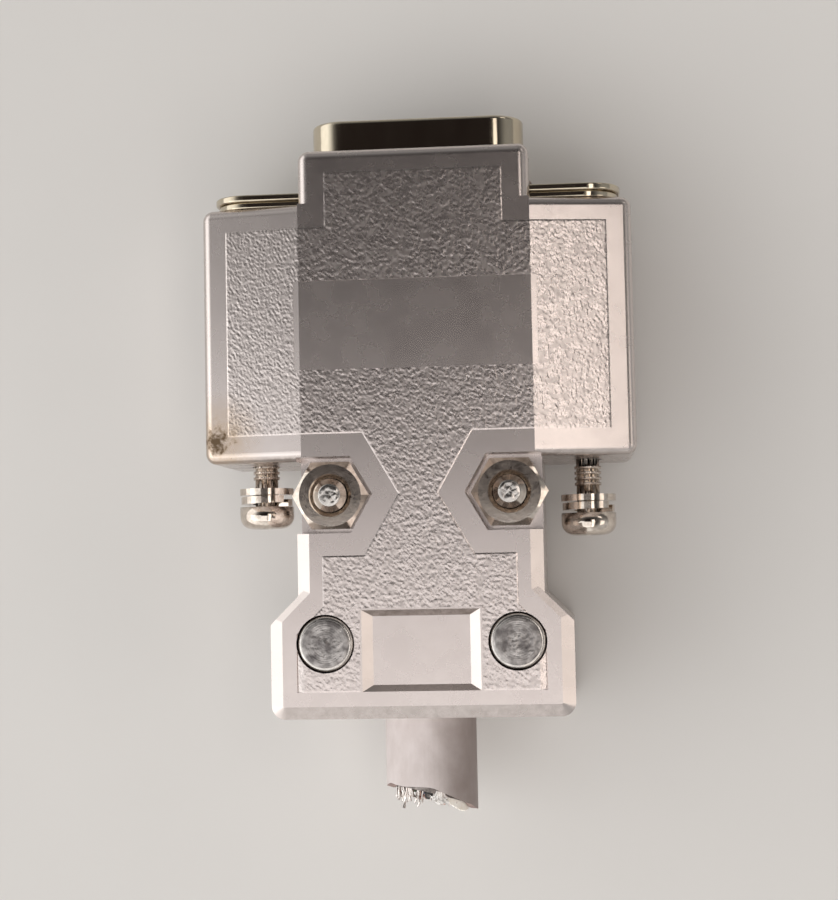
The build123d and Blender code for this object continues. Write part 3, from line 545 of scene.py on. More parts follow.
@dataclass
class Panel:
    """Outline of a grained panel, which the solids sink a little and the grain fills."""

    face: Face
    # Half width at each Y, from the tongue to the cable.
    outline: Outline = ((1.26, 6.65), (-2.85, 6.65), (-2.85, 14.3), (-18.32, 14.3), (-18.32, 4.082),
                        (-22.85, 1.484), (-27.35, 4.082), (-27.35, 7.2), (-31.087, 7.2), (-33.067, 9.18),
                        (-37.35, 9.18))
    # Half width, lower Y and upper Y of the smooth band and of the sunk plate.
    band: Triple = (9.07, -13.55, -6.9)
    plate: Triple = (4.5, -37.47, -31.25)
    # X, Y and radius of a post's seat.
    post: Triple = (7.07, -33.81, 2.15)

    @staticmethod
    def from_box(x: np.ndarray, y: np.ndarray, box: Triple) -> np.ndarray:
        """Distance of points from a box about X = 0, below nought inside it.

        Args:
            x: X of each point.
            y: Y of each point.
            box: half width, lower Y and upper Y.

        Returns:
            A distance for each point.
        """
        across = np.abs(x) - box[0]
        along = np.maximum(box[1] - y, y - box[2])
        return np.hypot(np.maximum(across, 0), np.maximum(along, 0)) + np.minimum(np.maximum(across, along), 0)

    def depth(self, x: np.ndarray, y: np.ndarray, whole: bool = False) -> np.ndarray:
        """How far inside the panel each point lies, below nought outside it.

        Args:
            x: X of each point.
            y: Y of each point.
            whole: whether the smooth band, the plate and the posts are left out of account.

        Returns:
            The distance to the nearest edge of the panel.
        """
        wide = np.abs(x)
        points = [(half, at) for at, half in self.outline]
        points = [(0.0, points[0][1])] + points + [(0.0, points[-1][1])]
        nearest = np.full(x.shape, np.inf)
        inside = np.zeros(x.shape, bool)
        for (ax, ay), (bx, by) in zip(points, points[1:]):
            run, fall = bx - ax, by - ay
            share = np.clip(((wide - ax) * run + (y - ay) * fall) / (run * run + fall * fall), 0, 1)
            nearest = np.minimum(nearest, np.hypot(wide - ax - share * run, y - ay - share * fall))
            if fall:
                crossed = (y <= max(ay, by)) & (y > min(ay, by))
                inside ^= crossed & (wide < ax + run * (y - ay) / fall)
        reach = np.where(inside, nearest, -nearest)
        if whole:
            return reach
        reach = np.minimum(reach, self.from_box(x, y, self.band))
        if self.face is Face.FRONT:
            reach = np.minimum(reach, self.from_box(x, y, self.plate))
            reach = np.minimum(reach, np.hypot(wide - self.post[0], y - self.post[1]) - self.post[2])
        return reach

    def on_edge(self, x: np.ndarray, y: np.ndarray, chosen: np.ndarray, probe: float = 0.01) -> tuple[np.ndarray, ...]:
        """Moves chosen points on to the nearest edge of the panel.

        Args:
            x: X of each point.
            y: Y of each point.
            chosen: whether each point is moved.
            probe: half the step over which the way to the edge is measured.

        Returns:
            The new X and Y of all points.
        """
        for _ in range(3):
            far = self.depth(x, y)
            lean_x = (self.depth(x + probe, y) - self.depth(x - probe, y)) / (2 * probe)
            lean_y = (self.depth(x, y + probe) - self.depth(x, y - probe)) / (2 * probe)
            x, y = np.where(chosen, x - far * lean_x, x), np.where(chosen, y - far * lean_y, y)
        return x, y


@dataclass
class Hood:
    """The two castings, with the slanted grain of their panels, which stands a little proud of its border."""

    half_thickness: float = 7.35
    crease_x: float = 8.65
    slope: float = 0.18
    panel_depth: float = 0.18
    # Half width, lower Y and upper Y of the grid on which both sheets are laid.
    grid: Triple = (14.4, -37.5, 1.3)
    # Cells of the front sheet, which the photograph shows and which comes in two parts, and of the rear one.
    cells: Span = (0.056, 0.09)
    seam_y: float = -12.0
    # Points of the rim this many cells off the panel's edge, or fewer, are moved on to it.
    snap: float = 1.2
    # How far the sheet's foot goes into the casting.
    root: float = 0.03
    # The sheet falls to its outline over this width, from its base to its rim, both above the sunk floor.
    edge: float = 0.08
    grain_rim: float = 0.18
    grain_base: float = 0.2
    # The real grain has about four short ridges to the millimetre, all slanted one way.
    grain_pitch: float = 0.135
    grain_stretch: float = 2.0
    grain_angle: float = -29.0
    grain_height: float = 0.03
    # The level of the grain that lies on the sheet, and the angle over which its edges are sharp.
    grain_middle: float = 0.5
    sharp_angle: float = 60.0

    def sheet(self, panel: Panel, lower: float, upper: float) -> Piece:
        """Lays a fine closed sheet of square cells in a sunk panel, with "relief" one on its top.

        Args:
            panel: where the sheet lies.
            lower: Y from which it reaches, where that is inside the panel.
            upper: Y up to which it reaches.

        Returns:
            The sheet, whose edge falls softly to the border, ready for its grain.
        """
        cell = self.cells[0] if panel.face is Face.FRONT else self.cells[1]
        wide, start, stop = self.grid
        x, y = np.meshgrid(np.arange(-wide, wide + cell, cell), np.arange(start, stop + cell, cell), indexing="ij")
        mid_x, mid_y = x[:-1, :-1] + cell / 2, y[:-1, :-1] + cell / 2
        cells = (panel.depth(mid_x, mid_y) > 0) & (mid_y > lower) & (mid_y < upper)
        # Cells that only touch at a corner would pinch the sheet.
        cells[:-1, :-1] &= ~(cells[1:, 1:] & ~cells[1:, :-1] & ~cells[:-1, 1:])
        cells[1:, :-1] &= ~(cells[:-1, 1:] & ~cells[:-1, :-1] & ~cells[1:, 1:])
        around = np.pad(cells, 1).astype(int)
        shared = around[:-1, :-1] + around[1:, :-1] + around[:-1, 1:] + around[1:, 1:]
        rim = (shared > 0) & (shared < 4)
        x, y = panel.on_edge(x, y, rim & (np.abs(panel.depth(x, y)) < self.snap * cell))
        share = np.clip(panel.depth(x, y, whole=True) / self.edge, 0, 1)
        soft = share * share * (3 - 2 * share)
        crown = self.half_thickness - self.slope * np.maximum(0.0, np.abs(x) - self.crease_x)
        top = crown - self.panel_depth + self.grain_rim + (self.grain_base - self.grain_rim) * soft
        up = panel.face.value
        work = bmesh.new()
        mask = work.verts.layers.float.new("relief")
        verts: dict[tuple[int, int], Vert] = {}
        feet: dict[tuple[int, int], Vert] = {}
        for i, j in zip(*np.nonzero(shared > 0)):
            across, along, high = float(x[i, j]), float(y[i, j]), up * float(top[i, j])
            verts[i, j] = work.verts.new((across, along, high))
            verts[i, j][mask] = float(share[i, j])
            if rim[i, j]:
                feet[i, j] = work.verts.new((across, along, high - up * (self.panel_depth + self.root)))
        below = {verts[key]: foot for key, foot in feet.items()}
        for i, j in zip(*np.nonzero(cells)):
            work.faces.new([verts[c] for c in ((i, j), (i + 1, j), (i + 1, j + 1), (i, j + 1))])
        for edge in [edge for edge in work.edges if edge.is_boundary]:
            first, second = edge.verts
            work.faces.new([first, second, below[second], below[first]])
        # The underside is hidden in the casting: one strip for each run of cells along X.
        for j in range(cells.shape[1]):
            ends = np.flatnonzero(np.diff(np.pad(cells[:, j].astype(int), 1)))
            for first, last in zip(ends[::2], ends[1::2]):
                near = [feet[i, j] for i in range(first, last + 1) if (i, j) in feet]
                off = [feet[i, j + 1] for i in range(last, first - 1, -1) if (i, j + 1) in feet]
                work.faces.new(near + off)
        return finished(f"grain_{panel.face.word}", work)

    def build(self) -> None:
        """Dresses both castings and lays the grain in their panels."""
        casting, grained = CASTING.material(), GRAINED_CASTING.material()
        for face in Face:
            coat(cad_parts[f"hood_{face.word}"], casting)
        for name, face, lower, upper, seed in (("grain_front_mate_end", Face.FRONT, self.seam_y, math.inf, 3.0),
                                               ("grain_front_cable_end", Face.FRONT, -math.inf, self.seam_y, 3.0),
                                               ("grain_rear", Face.REAR, -math.inf, math.inf, 8.0)):
            piece = RELIEF.run(name, self.sheet(Panel(face), lower, upper), grained, {
                "Pitch": self.grain_pitch * MM, "Stretch": self.grain_stretch, "Seed": seed,
                "Angle": math.radians(self.grain_angle), "Middle": self.grain_middle,
                "Height": face.value * self.grain_height * MM})
            piece.data.set_sharp_from_angle(angle=math.radians(self.sharp_angle))
            seat(piece, "hood", "nickel_casting")


def relief_recipe() -> Recipe:
    """Recipe that raises the points of a sheet along Z in rounded, slanted ridges.

    Returns:
        A recipe that moves only points whose "relief" is above nought. "Middle" is the level that stays in place.
    """
    recipe = Recipe("slanted relief", {"Pitch": 0.0004, "Stretch": 1.5, "Angle": 0.5, "Height": 0.0001, "Middle": 0.0,
                                       "Seed": 1.0})
    add, put = recipe.add, recipe.inputs
    turned = add("ShaderNodeVectorRotate", {"Vector": add("GeometryNodeInputPosition"), "Angle": put["Angle"]},
                 rotation_type="Z_AXIS")
    across = add("ShaderNodeMath", (1.0, put["Pitch"]), operation="DIVIDE")
    along = add("ShaderNodeMath", (across, put["Stretch"]), operation="DIVIDE")
    scale = add("ShaderNodeCombineXYZ", (across, along, across))
    scaled = add("ShaderNodeVectorMath", (turned, scale), operation="MULTIPLY")
    # Little detail keeps the ridges round.
    noise = add("ShaderNodeTexNoise", {"Vector": scaled, "W": put["Seed"], "Scale": 1.0, "Detail": 1.3,
                                       "Roughness": 0.45}, noise_dimensions="4D")
    rounded = add("ShaderNodeMapRange", (noise, 0.2, 0.8))
    mask = add("GeometryNodeInputNamedAttribute", {"Name": "relief"}, data_type="FLOAT")
    rise = add("ShaderNodeMath", (rounded, put["Middle"]), operation="SUBTRACT")
    for factor in (mask, put["Height"]):
        rise = add("ShaderNodeMath", (rise, factor), operation="MULTIPLY")
    offset = add("ShaderNodeCombineXYZ", (0.0, 0.0, rise))
    return recipe.end(add("GeometryNodeSetPosition", {"Geometry": put["Geometry"], "Offset": offset}))


RELIEF = relief_recipe()


# Fasteners.

@dataclass(frozen=True)
class RoughEnd:
    """The cut end of a bar or screw: a thin closed disc, uneven on top."""

    radius: float
    height: float
    pitch: float
    rings: int = 22
    around: int = 72
    # Rings next to the rim over which the unevenness dies away.
    soft_rings: int = 3
    thickness: float = 0.03
    pip_radius: float = 0.14
    pip_height: float = 0.0
    stretch: float = 1.2
    angle: float = 0.9

    def build(self, name: str, place: Triple, seed: float, material: bpy.types.Material) -> Piece:
        """Makes the disc.

        Args:
            name: the piece's name.
            place: middle of the end face that it lies on.
            seed: fixed number that picks the pattern.
            material: its finish.

        Returns:
            The disc as a plain mesh.
        """
        work = bmesh.new()
        mask = work.verts.layers.float.new("relief")
        x, y, z = place
        middle = work.verts.new((x, y, z + self.pip_height))
        middle[mask] = 1.0
        rings = []
        for count in range(1, self.rings + 1):
            r = self.radius * count / self.rings
            top = z + self.pip_height * math.exp(-(r / self.pip_radius) ** 2)
            rings.append([work.verts.new((x + r * c, y + r * s, top)) for c, s in turns(self.around)])
            for vert in rings[-1]:
                vert[mask] = min(1.0, (self.rings - count) / self.soft_rings)
        rings.append([work.verts.new((vert.co.x, vert.co.y, z - self.thickness)) for vert in rings[-1]])
        for i in range(self.around):
            work.faces.new([middle, rings[0][i], rings[0][i - 1]])
        skin(work, rings, open_start=True)
        return RELIEF.run(name, finished(name, work), material, {
            "Pitch": self.pitch * MM, "Stretch": self.stretch, "Angle": self.angle, "Height": self.height * MM,
            "Seed": seed})


@dataclass
class HoodFasteners:
    """Hexagon nuts, the screws in them and the two turned posts of the cable clamp."""

    screw: Triple = (6.68, -22.85, 6.85)
    post: Triple = (7.07, -33.81, 7.3)
    screw_end: RoughEnd = RoughEnd(radius=0.84, height=0.07, pitch=0.3, rings=12, around=48)
    # The left post keeps the pip that the cutting tool leaves.
    left_post_end: RoughEnd = RoughEnd(radius=1.76, height=0.045, pitch=0.22, pip_height=0.05)
    right_post_end: RoughEnd = RoughEnd(radius=1.76, height=0.045, pitch=0.22)

    def build(self) -> None:
        """Dresses the fasteners and roughens the ends that the photograph shows."""
        bright, bare, rim = BRIGHT_STEEL.material(), BARE_STEEL.material(), TUMBLED_STEEL.material()
        for side, post_end in ((Side.LEFT, self.left_post_end), (Side.RIGHT, self.right_post_end)):
            for piece in ("hex_nut", "hood_screw"):
                coat(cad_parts[f"{piece}_{side.word}"], bright)
            coat(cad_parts[f"clamp_post_{side.word}"], rim)
            for name, (x, y, z), end, seed, finish, slot in (
                    ("screw_end", self.screw, self.screw_end, 2.0, rim, "nickel_fastener"),
                    ("post_end", self.post, post_end, 5.0, bare, "bare_steel")):
                seat(end.build(f"{name}_{side.word}", (side.value * x, y, z), seed + side.value, finish), "hood", slot)


@dataclass
class JackScrews:
    """The captive screws, with a real thread on the front of each."""

    x: float = 12.495
    tips: Span = (0.9, -0.1)
    radius: float = 1.3
    chamfer: float = 0.45
    pitch: float = 0.45
    depth: float = 0.26
    length: float = 8.1
    # The thread begins this far from the tip, deepens over the second length and runs out over the third.
    lead: float = 0.2
    deepening: float = 0.4
    run_out: float = 0.8
    # How far the threaded front reaches into the rest of the screw.
    overlap: float = 0.05
    around: int = 40
    rows_per_turn: int = 8
    sharp_angle: float = 32.0

    def tip(self, side: Side) -> float:
        """Y of a screw's front end."""
        return self.tips[0] if side is Side.LEFT else self.tips[1]

    def rod(self, side: Side) -> Piece:
        """Makes the plain closed rod that the thread is cut into.

        Args:
            side: which screw.

        Returns:
            A rod of fine rings, with "relief" one where the thread has its full depth.
        """
        rows = int(self.length / self.pitch * self.rows_per_turn)
        work = bmesh.new()
        mask = work.verts.layers.float.new("relief")
        rings = []
        for row in range(rows + 1):
            back = self.length * row / rows
            r = min(self.radius, self.radius - self.chamfer + back)
            rings.append([work.verts.new((side.value * self.x + r * c, self.tip(side) - back, r * s))
                          for c, s in turns(self.around)])
            for vert in rings[-1]:
                vert[mask] = max(0.0, min(1.0, (back - self.lead) / self.deepening,
                                          (self.length - back) / self.run_out))
        skin(work, rings)
        return finished(f"jack_thread_{side.word}", work)

    def build(self) -> None:
        """Replaces each screw by a copy that has the threaded front, and dresses the washers."""
        bright = BRIGHT_STEEL.material()
        thread = thread_recipe()
        for side in Side:
            for piece in ("jack_flat_washer", "jack_spring_washer"):
                coat(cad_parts[f"{piece}_{side.word}"], bright)
            front = thread.run(f"jack_thread_{side.word}", self.rod(side), bright, {
                "Pitch": self.pitch * MM, "Depth": self.depth * MM, "Axis": side.value * self.x * MM})
            work = bmesh.new()
            work.from_mesh(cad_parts[f"jack_screw_{side.word}"].data)
            bmesh.ops.remove_doubles(work, verts=work.verts, dist=1e-7)
            cut = (self.tip(side) - self.length + self.overlap) * MM
            geometry = work.verts[:] + work.edges[:] + work.faces[:]
            bmesh.ops.bisect_plane(work, geom=geometry, plane_co=(0, cut, 0), plane_no=(0, 1, 0), clear_outer=True)
            bmesh.ops.holes_fill(work, edges=[e for e in work.edges if e.is_boundary])
            work.from_mesh(front.data)
            bpy.data.objects.remove(front)
            bmesh.ops.recalc_face_normals(work, faces=work.faces)
            mesh = bpy.data.meshes.new(f"jack_screw_threaded_{side.word}")
            work.to_mesh(mesh)
            work.free()
            mesh.shade_smooth()
            mesh.set_sharp_from_angle(angle=math.radians(self.sharp_angle))
            mesh.materials.clear()
            piece = placed(mesh.name, mesh)
            coat(piece, bright)
            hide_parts(f"jack_screw_{side.word}")
            seat(piece, f"jack_screw_{side.word}", "nickel_fastener")


def thread_recipe() -> Recipe:
    """Recipe that cuts a right-hand thread into a rod along Y.

    Returns:
        A recipe that pulls points towards the rod's axis by their place on the helix.
    """
    recipe = Recipe("cut thread", {"Pitch": 0.00045, "Depth": 0.00026, "Axis": 0.0125})
    add, put = recipe.add, recipe.inputs
    middle = add("ShaderNodeCombineXYZ", (put["Axis"],))
    out = add("ShaderNodeVectorMath", (add("GeometryNodeInputPosition"), middle), operation="SUBTRACT")
    x, y, z = add("ShaderNodeSeparateXYZ", (out,)).outputs
    turn = add("ShaderNodeMath", (z, x), operation="ARCTAN2")
    share = add("ShaderNodeMath", (turn, 2 * math.pi), operation="DIVIDE")
    climb = add("ShaderNodeMath", (y, put["Pitch"]), operation="DIVIDE")
    phase = add("ShaderNodeMath", (climb, share), operation="ADD")
    wave = add("ShaderNodeMath", (phase, 0.5), operation="PINGPONG")
    # A narrow crest and root, with straight flanks between them.
    pull = add("ShaderNodeMapRange", (wave, 0.06, 0.46))
    mask = add("GeometryNodeInputNamedAttribute", {"Name": "relief"}, data_type="FLOAT")
    for factor in (mask, put["Depth"], -1.0):
        pull = add("ShaderNodeMath", (pull, factor), operation="MULTIPLY")
    flat = add("ShaderNodeCombineXYZ", (x, 0.0, z))
    radial = add("ShaderNodeVectorMath", (flat,), operation="NORMALIZE")
    inward = add("ShaderNodeVectorMath", {0: radial, 3: pull}, operation="SCALE")
    return recipe.end(add("GeometryNodeSetPosition", {"Geometry": put["Geometry"], "Offset": inward}))


# Shells, insulators and contacts.

@dataclass
class Coupling:
    """The steel shells, the two insulators and the nine sockets."""

    contacts: int = 9

    def build(self) -> None:
        """Dresses every piece of the mating end."""
        for finish, names in ((DRAWN_STEEL, ("mating_shell", "rear_shell")),
                              (BLACK_RESIN, ("front_insulator", "rear_insulator")),
                              (GOLD, [f"contact_{number}" for number in range(1, self.contacts + 1)])):
            material = finish.material()
            for name in names:
                coat(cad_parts[name], material)
        LOG.info("mating end dressed, %d contacts", self.contacts)


# Cable.

@dataclass
class Wrap:
    """The strip of paper wrap that stands out under the jacket's slanted upper edge."""

    radius: float = 2.74
    wall: float = 0.16
    first_turn: float = 9.0
    sweep: float = 56.0
    steps: int = 32
    root: float = -0.4
    reach: float = 0.68
    tear: float = 0.07
    tear_pitch: float = 1.9

    def build(self, cut: Callable[[float, float], float]) -> Piece:
        """Makes the strip.

        Args:
            cut: Y of the cable's cut at an X and a Z.

        Returns:
            A thin closed strip bent round the cable's middle, with a torn edge.
        """
        work = bmesh.new()
        rows = []
        outer = self.radius + self.wall
        for i in range(self.steps + 1):
            turn = math.radians(self.first_turn + self.sweep * i / self.steps)
            swell = math.sin(math.pi * i / self.steps)
            out = self.reach * swell ** 0.5 + self.tear * math.sin(i * self.tear_pitch) * swell
            row = []
            for r, far in ((self.radius, self.root), (self.radius, out), (outer, out), (outer, self.root)):
                x, z = r * math.cos(turn), r * math.sin(turn)
                row.append(work.verts.new((x, cut(x, z) - far, z)))
            rows.append(row)
        skin(work, rows)
        return finished("cable_wrap", work, smooth=False)


@dataclass
class BentWire:
    """The thin dark wire that is bent up so that its cut end shows."""

    radius: float = 0.32
    core_radius: float = 0.14
    foot: Triple = (-0.08, -44.88, 2.1)
    bend: float = 0.62
    turn: float = 78.0
    steps: int = 8
    # How far the conductor reaches into the insulation, and how far out of it.
    core: Span = (0.3, 0.05)
    sharp_angle: float = 40.0

    def bar(self, name: str, radius: float, path: Sequence[Vector], around: int) -> Piece:
        """Sweeps a round bar along points.

        Args:
            name: the piece's name.
            radius: the bar's radius.
            path: points along its middle.
            around: faces round it.

        Returns:
            The closed bar.
        """
        work = bmesh.new()
        rings = []
        for i, point in enumerate(path):
            along = (path[min(i + 1, len(path) - 1)] - path[max(i - 1, 0)]).normalized()
            side = along.cross(Vector((1, 0, 0))).normalized()
            up = side.cross(along)
            rings.append([work.verts.new(point + radius * (c * side + s * up)) for c, s in turns(around)])
        skin(work, rings)
        piece = finished(name, work)
        piece.data.set_sharp_from_angle(angle=math.radians(self.sharp_angle))
        return piece

    def build(self) -> tuple[Piece, Piece]:
        """Makes the wire.

        Returns:
            Its insulation, and the conductor that stands out of it.
        """
        x, y, z = self.foot
        path = []
        for i in range(self.steps + 1):
            turn = math.radians(self.turn * i / self.steps)
            path.append(Vector((x, y - self.bend * math.sin(turn), z + self.bend * (1 - math.cos(turn)))))
        end = (path[-1] - path[-2]).normalized()
        core = [path[-1] - self.core[0] * end, path[-1] + self.core[1] * end]
        return self.bar("bent_wire", self.radius, path, 20), self.bar("bent_wire_core", self.core_radius, core, 14)


@dataclass
class CableEnd:
    """The cable's cut end: loose screen wires, cut conductors, filler, wrap and a bent wire."""

    cut_y: float = -45.78
    slope_x: float = -0.246
    slope_z: float = 0.19
    # How far the upper edge of the jacket departs from the flat cut, by X.
    torn: Outline = ((-3.5, -0.1), (-2.6, -0.15), (-2.0, -0.08), (-0.5, 0.3), (0.3, 0.42), (0.9, 0.28), (1.7, 0.08),
                     (2.8, -0.3), (3.5, -0.2))
    # From the first two Z on, over a millimetre, the edge turns torn, and upright where the flat cut is at the third.
    torn_from: float = -1.0
    upright_from: float = 1.0
    upright_z: float = 3.2
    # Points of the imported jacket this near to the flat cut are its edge.
    edge_tolerance: float = 0.02
    sharp_angle: float = 35.0
    # How far inside the cut every strand begins.
    root: float = 0.25
    screen_wires: int = 130
    screen_wire_radius: float = 0.08
    screen_radius: float = 2.8
    screen_length: Span = (0.3, 0.55)
    screen_sway: float = 0.5
    screen_lean: float = 0.1
    # At this turn the wires are longer by this span and lie up to this far inside the screen's radius.
    torn_turn: float = 118.0
    torn_length: Span = (0.3, 1.35)
    torn_sink: float = 0.5
    # X and half width of the gap in which the bent wire stands.
    gap_x: float = -0.05
    gap: float = 0.32
    wires_in_ring: int = 8
    ring_radius: float = 2.05
    # Six strands lie in a ring round the seventh, turned this much. Those of the upper wires are longer.
    strand_radius: float = 0.08
    strand_ring: float = 0.17
    strand_turn: float = 17.0
    strand_length: Span = (0.3, 0.65)
    strand_rise: float = 0.3
    fibres: int = 110
    fibre_radius: float = 0.075
    fibre_length: Span = (0.45, 0.85)
    # X and Z of the tuft's middle, and how far its fibres stray from it.
    tuft: Span = (0.8, 2.62)
    tuft_spread: Span = (0.14, 0.1)
    seed: int = 17

    def cut(self, x: float, z: float) -> float:
        """Y of the cut at a place in the cable."""
        return self.cut_y + self.slope_x * x + self.slope_z * z

    def roots(self, name: str, strands: Iterable[Strand]) -> Piece:
        """Makes the points from which strands grow, just inside the cut.

        Args:
            name: the piece's name.
            strands: what grows.

        Returns:
            Loose points with the attributes "length" and "aim".
        """
        spots = list(strands)
        mesh = bpy.data.meshes.new(name)
        mesh.from_pydata([(x * MM, (self.cut(x, z) + self.root) * MM, z * MM) for x, z, _, _ in spots], [], [])
        mesh.attributes.new("length", "FLOAT", "POINT").data.foreach_set("value", [s[2] * MM for s in spots])
        aims = [part for spot in spots for part in spot[3]]
        mesh.attributes.new("aim", "FLOAT_VECTOR", "POINT").data.foreach_set("vector", aims)
        return placed(name, mesh)

    def screen(self, chance: np.random.Generator) -> Iterable[Strand]:
        """Spreads the screen's broken wires, which are longest at the upper left.

        Args:
            chance: seeded source of numbers.

        Returns:
            The wires, one by one.
        """
        lean = self.screen_lean
        for turn in chance.uniform(0, 2 * math.pi, self.screen_wires):
            c, s = math.cos(turn), math.sin(turn)
            upper_left = max(0.0, math.cos(turn - math.radians(self.torn_turn)))
            length = chance.uniform(*self.screen_length) + upper_left ** 2 * chance.uniform(*self.torn_length)
            r = self.screen_radius - chance.uniform(0.0, self.torn_sink) * upper_left
            sway = chance.uniform(-self.screen_sway, self.screen_sway)
            if s < 0 or abs(r * c - self.gap_x) > self.gap:
                yield r * c, r * s, length, (sway * s - lean * c, -1.0, -sway * c + lean * s)

    def conductors(self, chance: np.random.Generator) -> Iterable[Strand]:
        """Places seven strands in each of the nine wires, eight of them in a ring round the ninth.

        Args:
            chance: seeded source of numbers.

        Returns:
            The strands, one by one.
        """
        wires = (2 * math.pi * (i + 0.5) / self.wires_in_ring for i in range(self.wires_in_ring))
        places = [(self.ring_radius * math.cos(a), self.ring_radius * math.sin(a)) for a in wires] + [(0.0, 0.0)]
        for x, z in places:
            for i in range(7):
                r, turn = (0.0, 0.0) if i == 6 else (self.strand_ring, math.radians(60 * i + self.strand_turn))
                length = chance.uniform(*self.strand_length) + self.strand_rise * max(0.0, z) / self.ring_radius
                aim = (chance.uniform(-0.2, 0.2), -1.0, chance.uniform(-0.1, 0.3))
                yield x + r * math.cos(turn), z + r * math.sin(turn), length, aim

    def filler(self, chance: np.random.Generator) -> Iterable[Strand]:
        """Tufts the filler right of the middle, under the jacket's upper edge.

        Args:
            chance: seeded source of numbers.

        Returns:
            The fibres, one by one.
        """
        for _ in range(self.fibres):
            x, z = (middle + chance.normal(0, spread) for middle, spread in zip(self.tuft, self.tuft_spread))
            length = chance.uniform(*self.fibre_length)
            yield x, z, length, (chance.uniform(-0.5, 0.5), -1.0, chance.uniform(0.0, 0.4))

    def jacket(self) -> Piece:
        """Makes the jacket with the uneven edge that the knife left.

        Returns:
            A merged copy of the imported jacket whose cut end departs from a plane.
        """
        work = bmesh.new()
        work.from_mesh(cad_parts["cable_jacket"].data)
        bmesh.ops.remove_doubles(work, verts=work.verts, dist=1e-7)
        bmesh.ops.scale(work, vec=(1 / MM, 1 / MM, 1 / MM), verts=work.verts)
        xs, lifts = zip(*self.torn)
        for vert in work.verts:
            x, y, z = vert.co
            if abs(y - self.cut(x, z)) < self.edge_tolerance:
                upright = self.slope_z * (self.upright_z - z) * min(1.0, max(0.0, z - self.upright_from))
                vert.co.y += upright + float(np.interp(x, xs, lifts)) * min(1.0, max(0.0, z - self.torn_from))
        piece = finished("cable_jacket_cut", work)
        piece.data.set_sharp_from_angle(angle=math.radians(self.sharp_angle))
        for finish in (JACKET, CUT_VINYL_WITH_PAINTED_SHADE):
            piece.data.materials.append(finish.material())
        # Faces towards -Y, the cut, get the darker cut vinyl, which is partly painted shade.
        for face in piece.data.polygons:
            face.material_index = int(face.normal.y < -0.5)
        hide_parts("cable_jacket")
        return piece

    def build(self) -> None:
        """Dresses the cable and adds what stands out of its cut end."""
        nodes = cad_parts
        seat(self.jacket(), "hood", "jacket_vinyl")
        # The screen's cut and the bent wire's core share a dark copper, which is painted shade.
        woven, strip = WOVEN_COPPER_IN_PAINTED_SHADE.material(), ZINC_STRIP.material()
        coat(nodes["cable_braid"], woven)
        for name in ("clamp_saddle_front", "clamp_saddle_rear"):
            coat(nodes[name], strip)
        for number, colour in enumerate(WIRE_COLOURS, start=1):
            # Vinyl insulation of one wire: matt, in its own colour.
            vinyl = SoftVinyl(f"wire_vinyl_{number}", colour, colour, 0.0, 0.45, 0.08, 0.6, 0.1, 0.004)
            coat(nodes[f"wire_{number}"], vinyl.material())
        chance = np.random.default_rng(self.seed)
        recipe = strand_recipe()
        for name, strands, radius, curl, finish, slot in (
                ("screen_strands", self.screen, self.screen_wire_radius, 0.22, TINNED_COPPER, "braid_tin"),
                ("conductor_strands", self.conductors, self.strand_radius, 0.05, COPPER, "braid_tin"),
                ("cotton_filler", self.filler, self.fibre_radius, 0.35, FILLER, "wire_vinyl")):
            piece = recipe.run(name, self.roots(name, strands(chance)), finish.material(),
                               {"Radius": radius * MM, "Curl": curl * MM})
            seat(piece, "hood", slot)
        wrap, (sleeve, core) = Wrap().build(self.cut), BentWire().build()
        for piece, material, slot in ((wrap, WRAP.material(), "wire_vinyl"),
                                      (sleeve, BLACK_VINYL.material(), "wire_vinyl"), (core, woven, "braid_tin")):
            coat(piece, material)
            seat(piece, "hood", slot)


def strand_recipe() -> Recipe:
    """Recipe that grows a curled strand from each point, along "aim" and as long as "length".

    Returns:
        A recipe whose strands stay straight at the root and curl towards the tip.
    """
    recipe = Recipe("loose strands", {"Radius": 0.00005, "Curl": 0.0002, "Curl pitch": 0.0007})
    add, put = recipe.add, recipe.inputs
    line = add("GeometryNodeCurvePrimitiveLine", {"Start": (0.0, 0.0, 0.0), "End": (0.0, 0.0, 1.0)})
    points = add("GeometryNodeResampleCurve", {"Curve": line, "Count": 8})
    circle = add("GeometryNodeCurvePrimitiveCircle", {"Resolution": 6, "Radius": put["Radius"]})
    bar = add("GeometryNodeCurveToMesh", {"Curve": points, "Profile Curve": circle, "Fill Caps": True})
    place = add("GeometryNodeInputPosition")
    height = add("ShaderNodeSeparateXYZ", (place,)).outputs[2]
    marked = add("GeometryNodeStoreNamedAttribute", {"Geometry": bar, "Name": "along", "Value": height},
                 data_type="FLOAT", domain="POINT")
    aim = add("GeometryNodeInputNamedAttribute", {"Name": "aim"}, data_type="FLOAT_VECTOR")
    turn = add("FunctionNodeAlignRotationToVector", {"Vector": aim}, axis="Z")
    length = add("GeometryNodeInputNamedAttribute", {"Name": "length"}, data_type="FLOAT")
    size = add("ShaderNodeCombineXYZ", (1.0, 1.0, length))
    grown = add("GeometryNodeInstanceOnPoints", {"Points": put["Geometry"], "Instance": marked, "Rotation": turn,
                                                 "Scale": size})
    real = add("GeometryNodeRealizeInstances", {"Geometry": grown})
    along = add("GeometryNodeInputNamedAttribute", {"Name": "along"}, data_type="FLOAT")
    fine = add("ShaderNodeMath", (1.0, put["Curl pitch"]), operation="DIVIDE")
    noise = add("ShaderNodeTexNoise", {"Vector": place, "Scale": fine, "Detail": 1.0}).outputs[1]
    centred = add("ShaderNodeVectorMath", (noise, (0.5, 0.5, 0.5)), operation="SUBTRACT")
    # The curl grows with the square of the way along. Noise strays little from its middle, hence the four.
    reach = along
    for factor in (along, put["Curl"], 4.0):
        reach = add("ShaderNodeMath", (reach, factor), operation="MULTIPLY")
    offset = add("ShaderNodeVectorMath", {0: centred, 3: reach}, operation="SCALE")
    return recipe.end(add("GeometryNodeSetPosition", {"Geometry": real, "Offset": offset}))


# Stage.

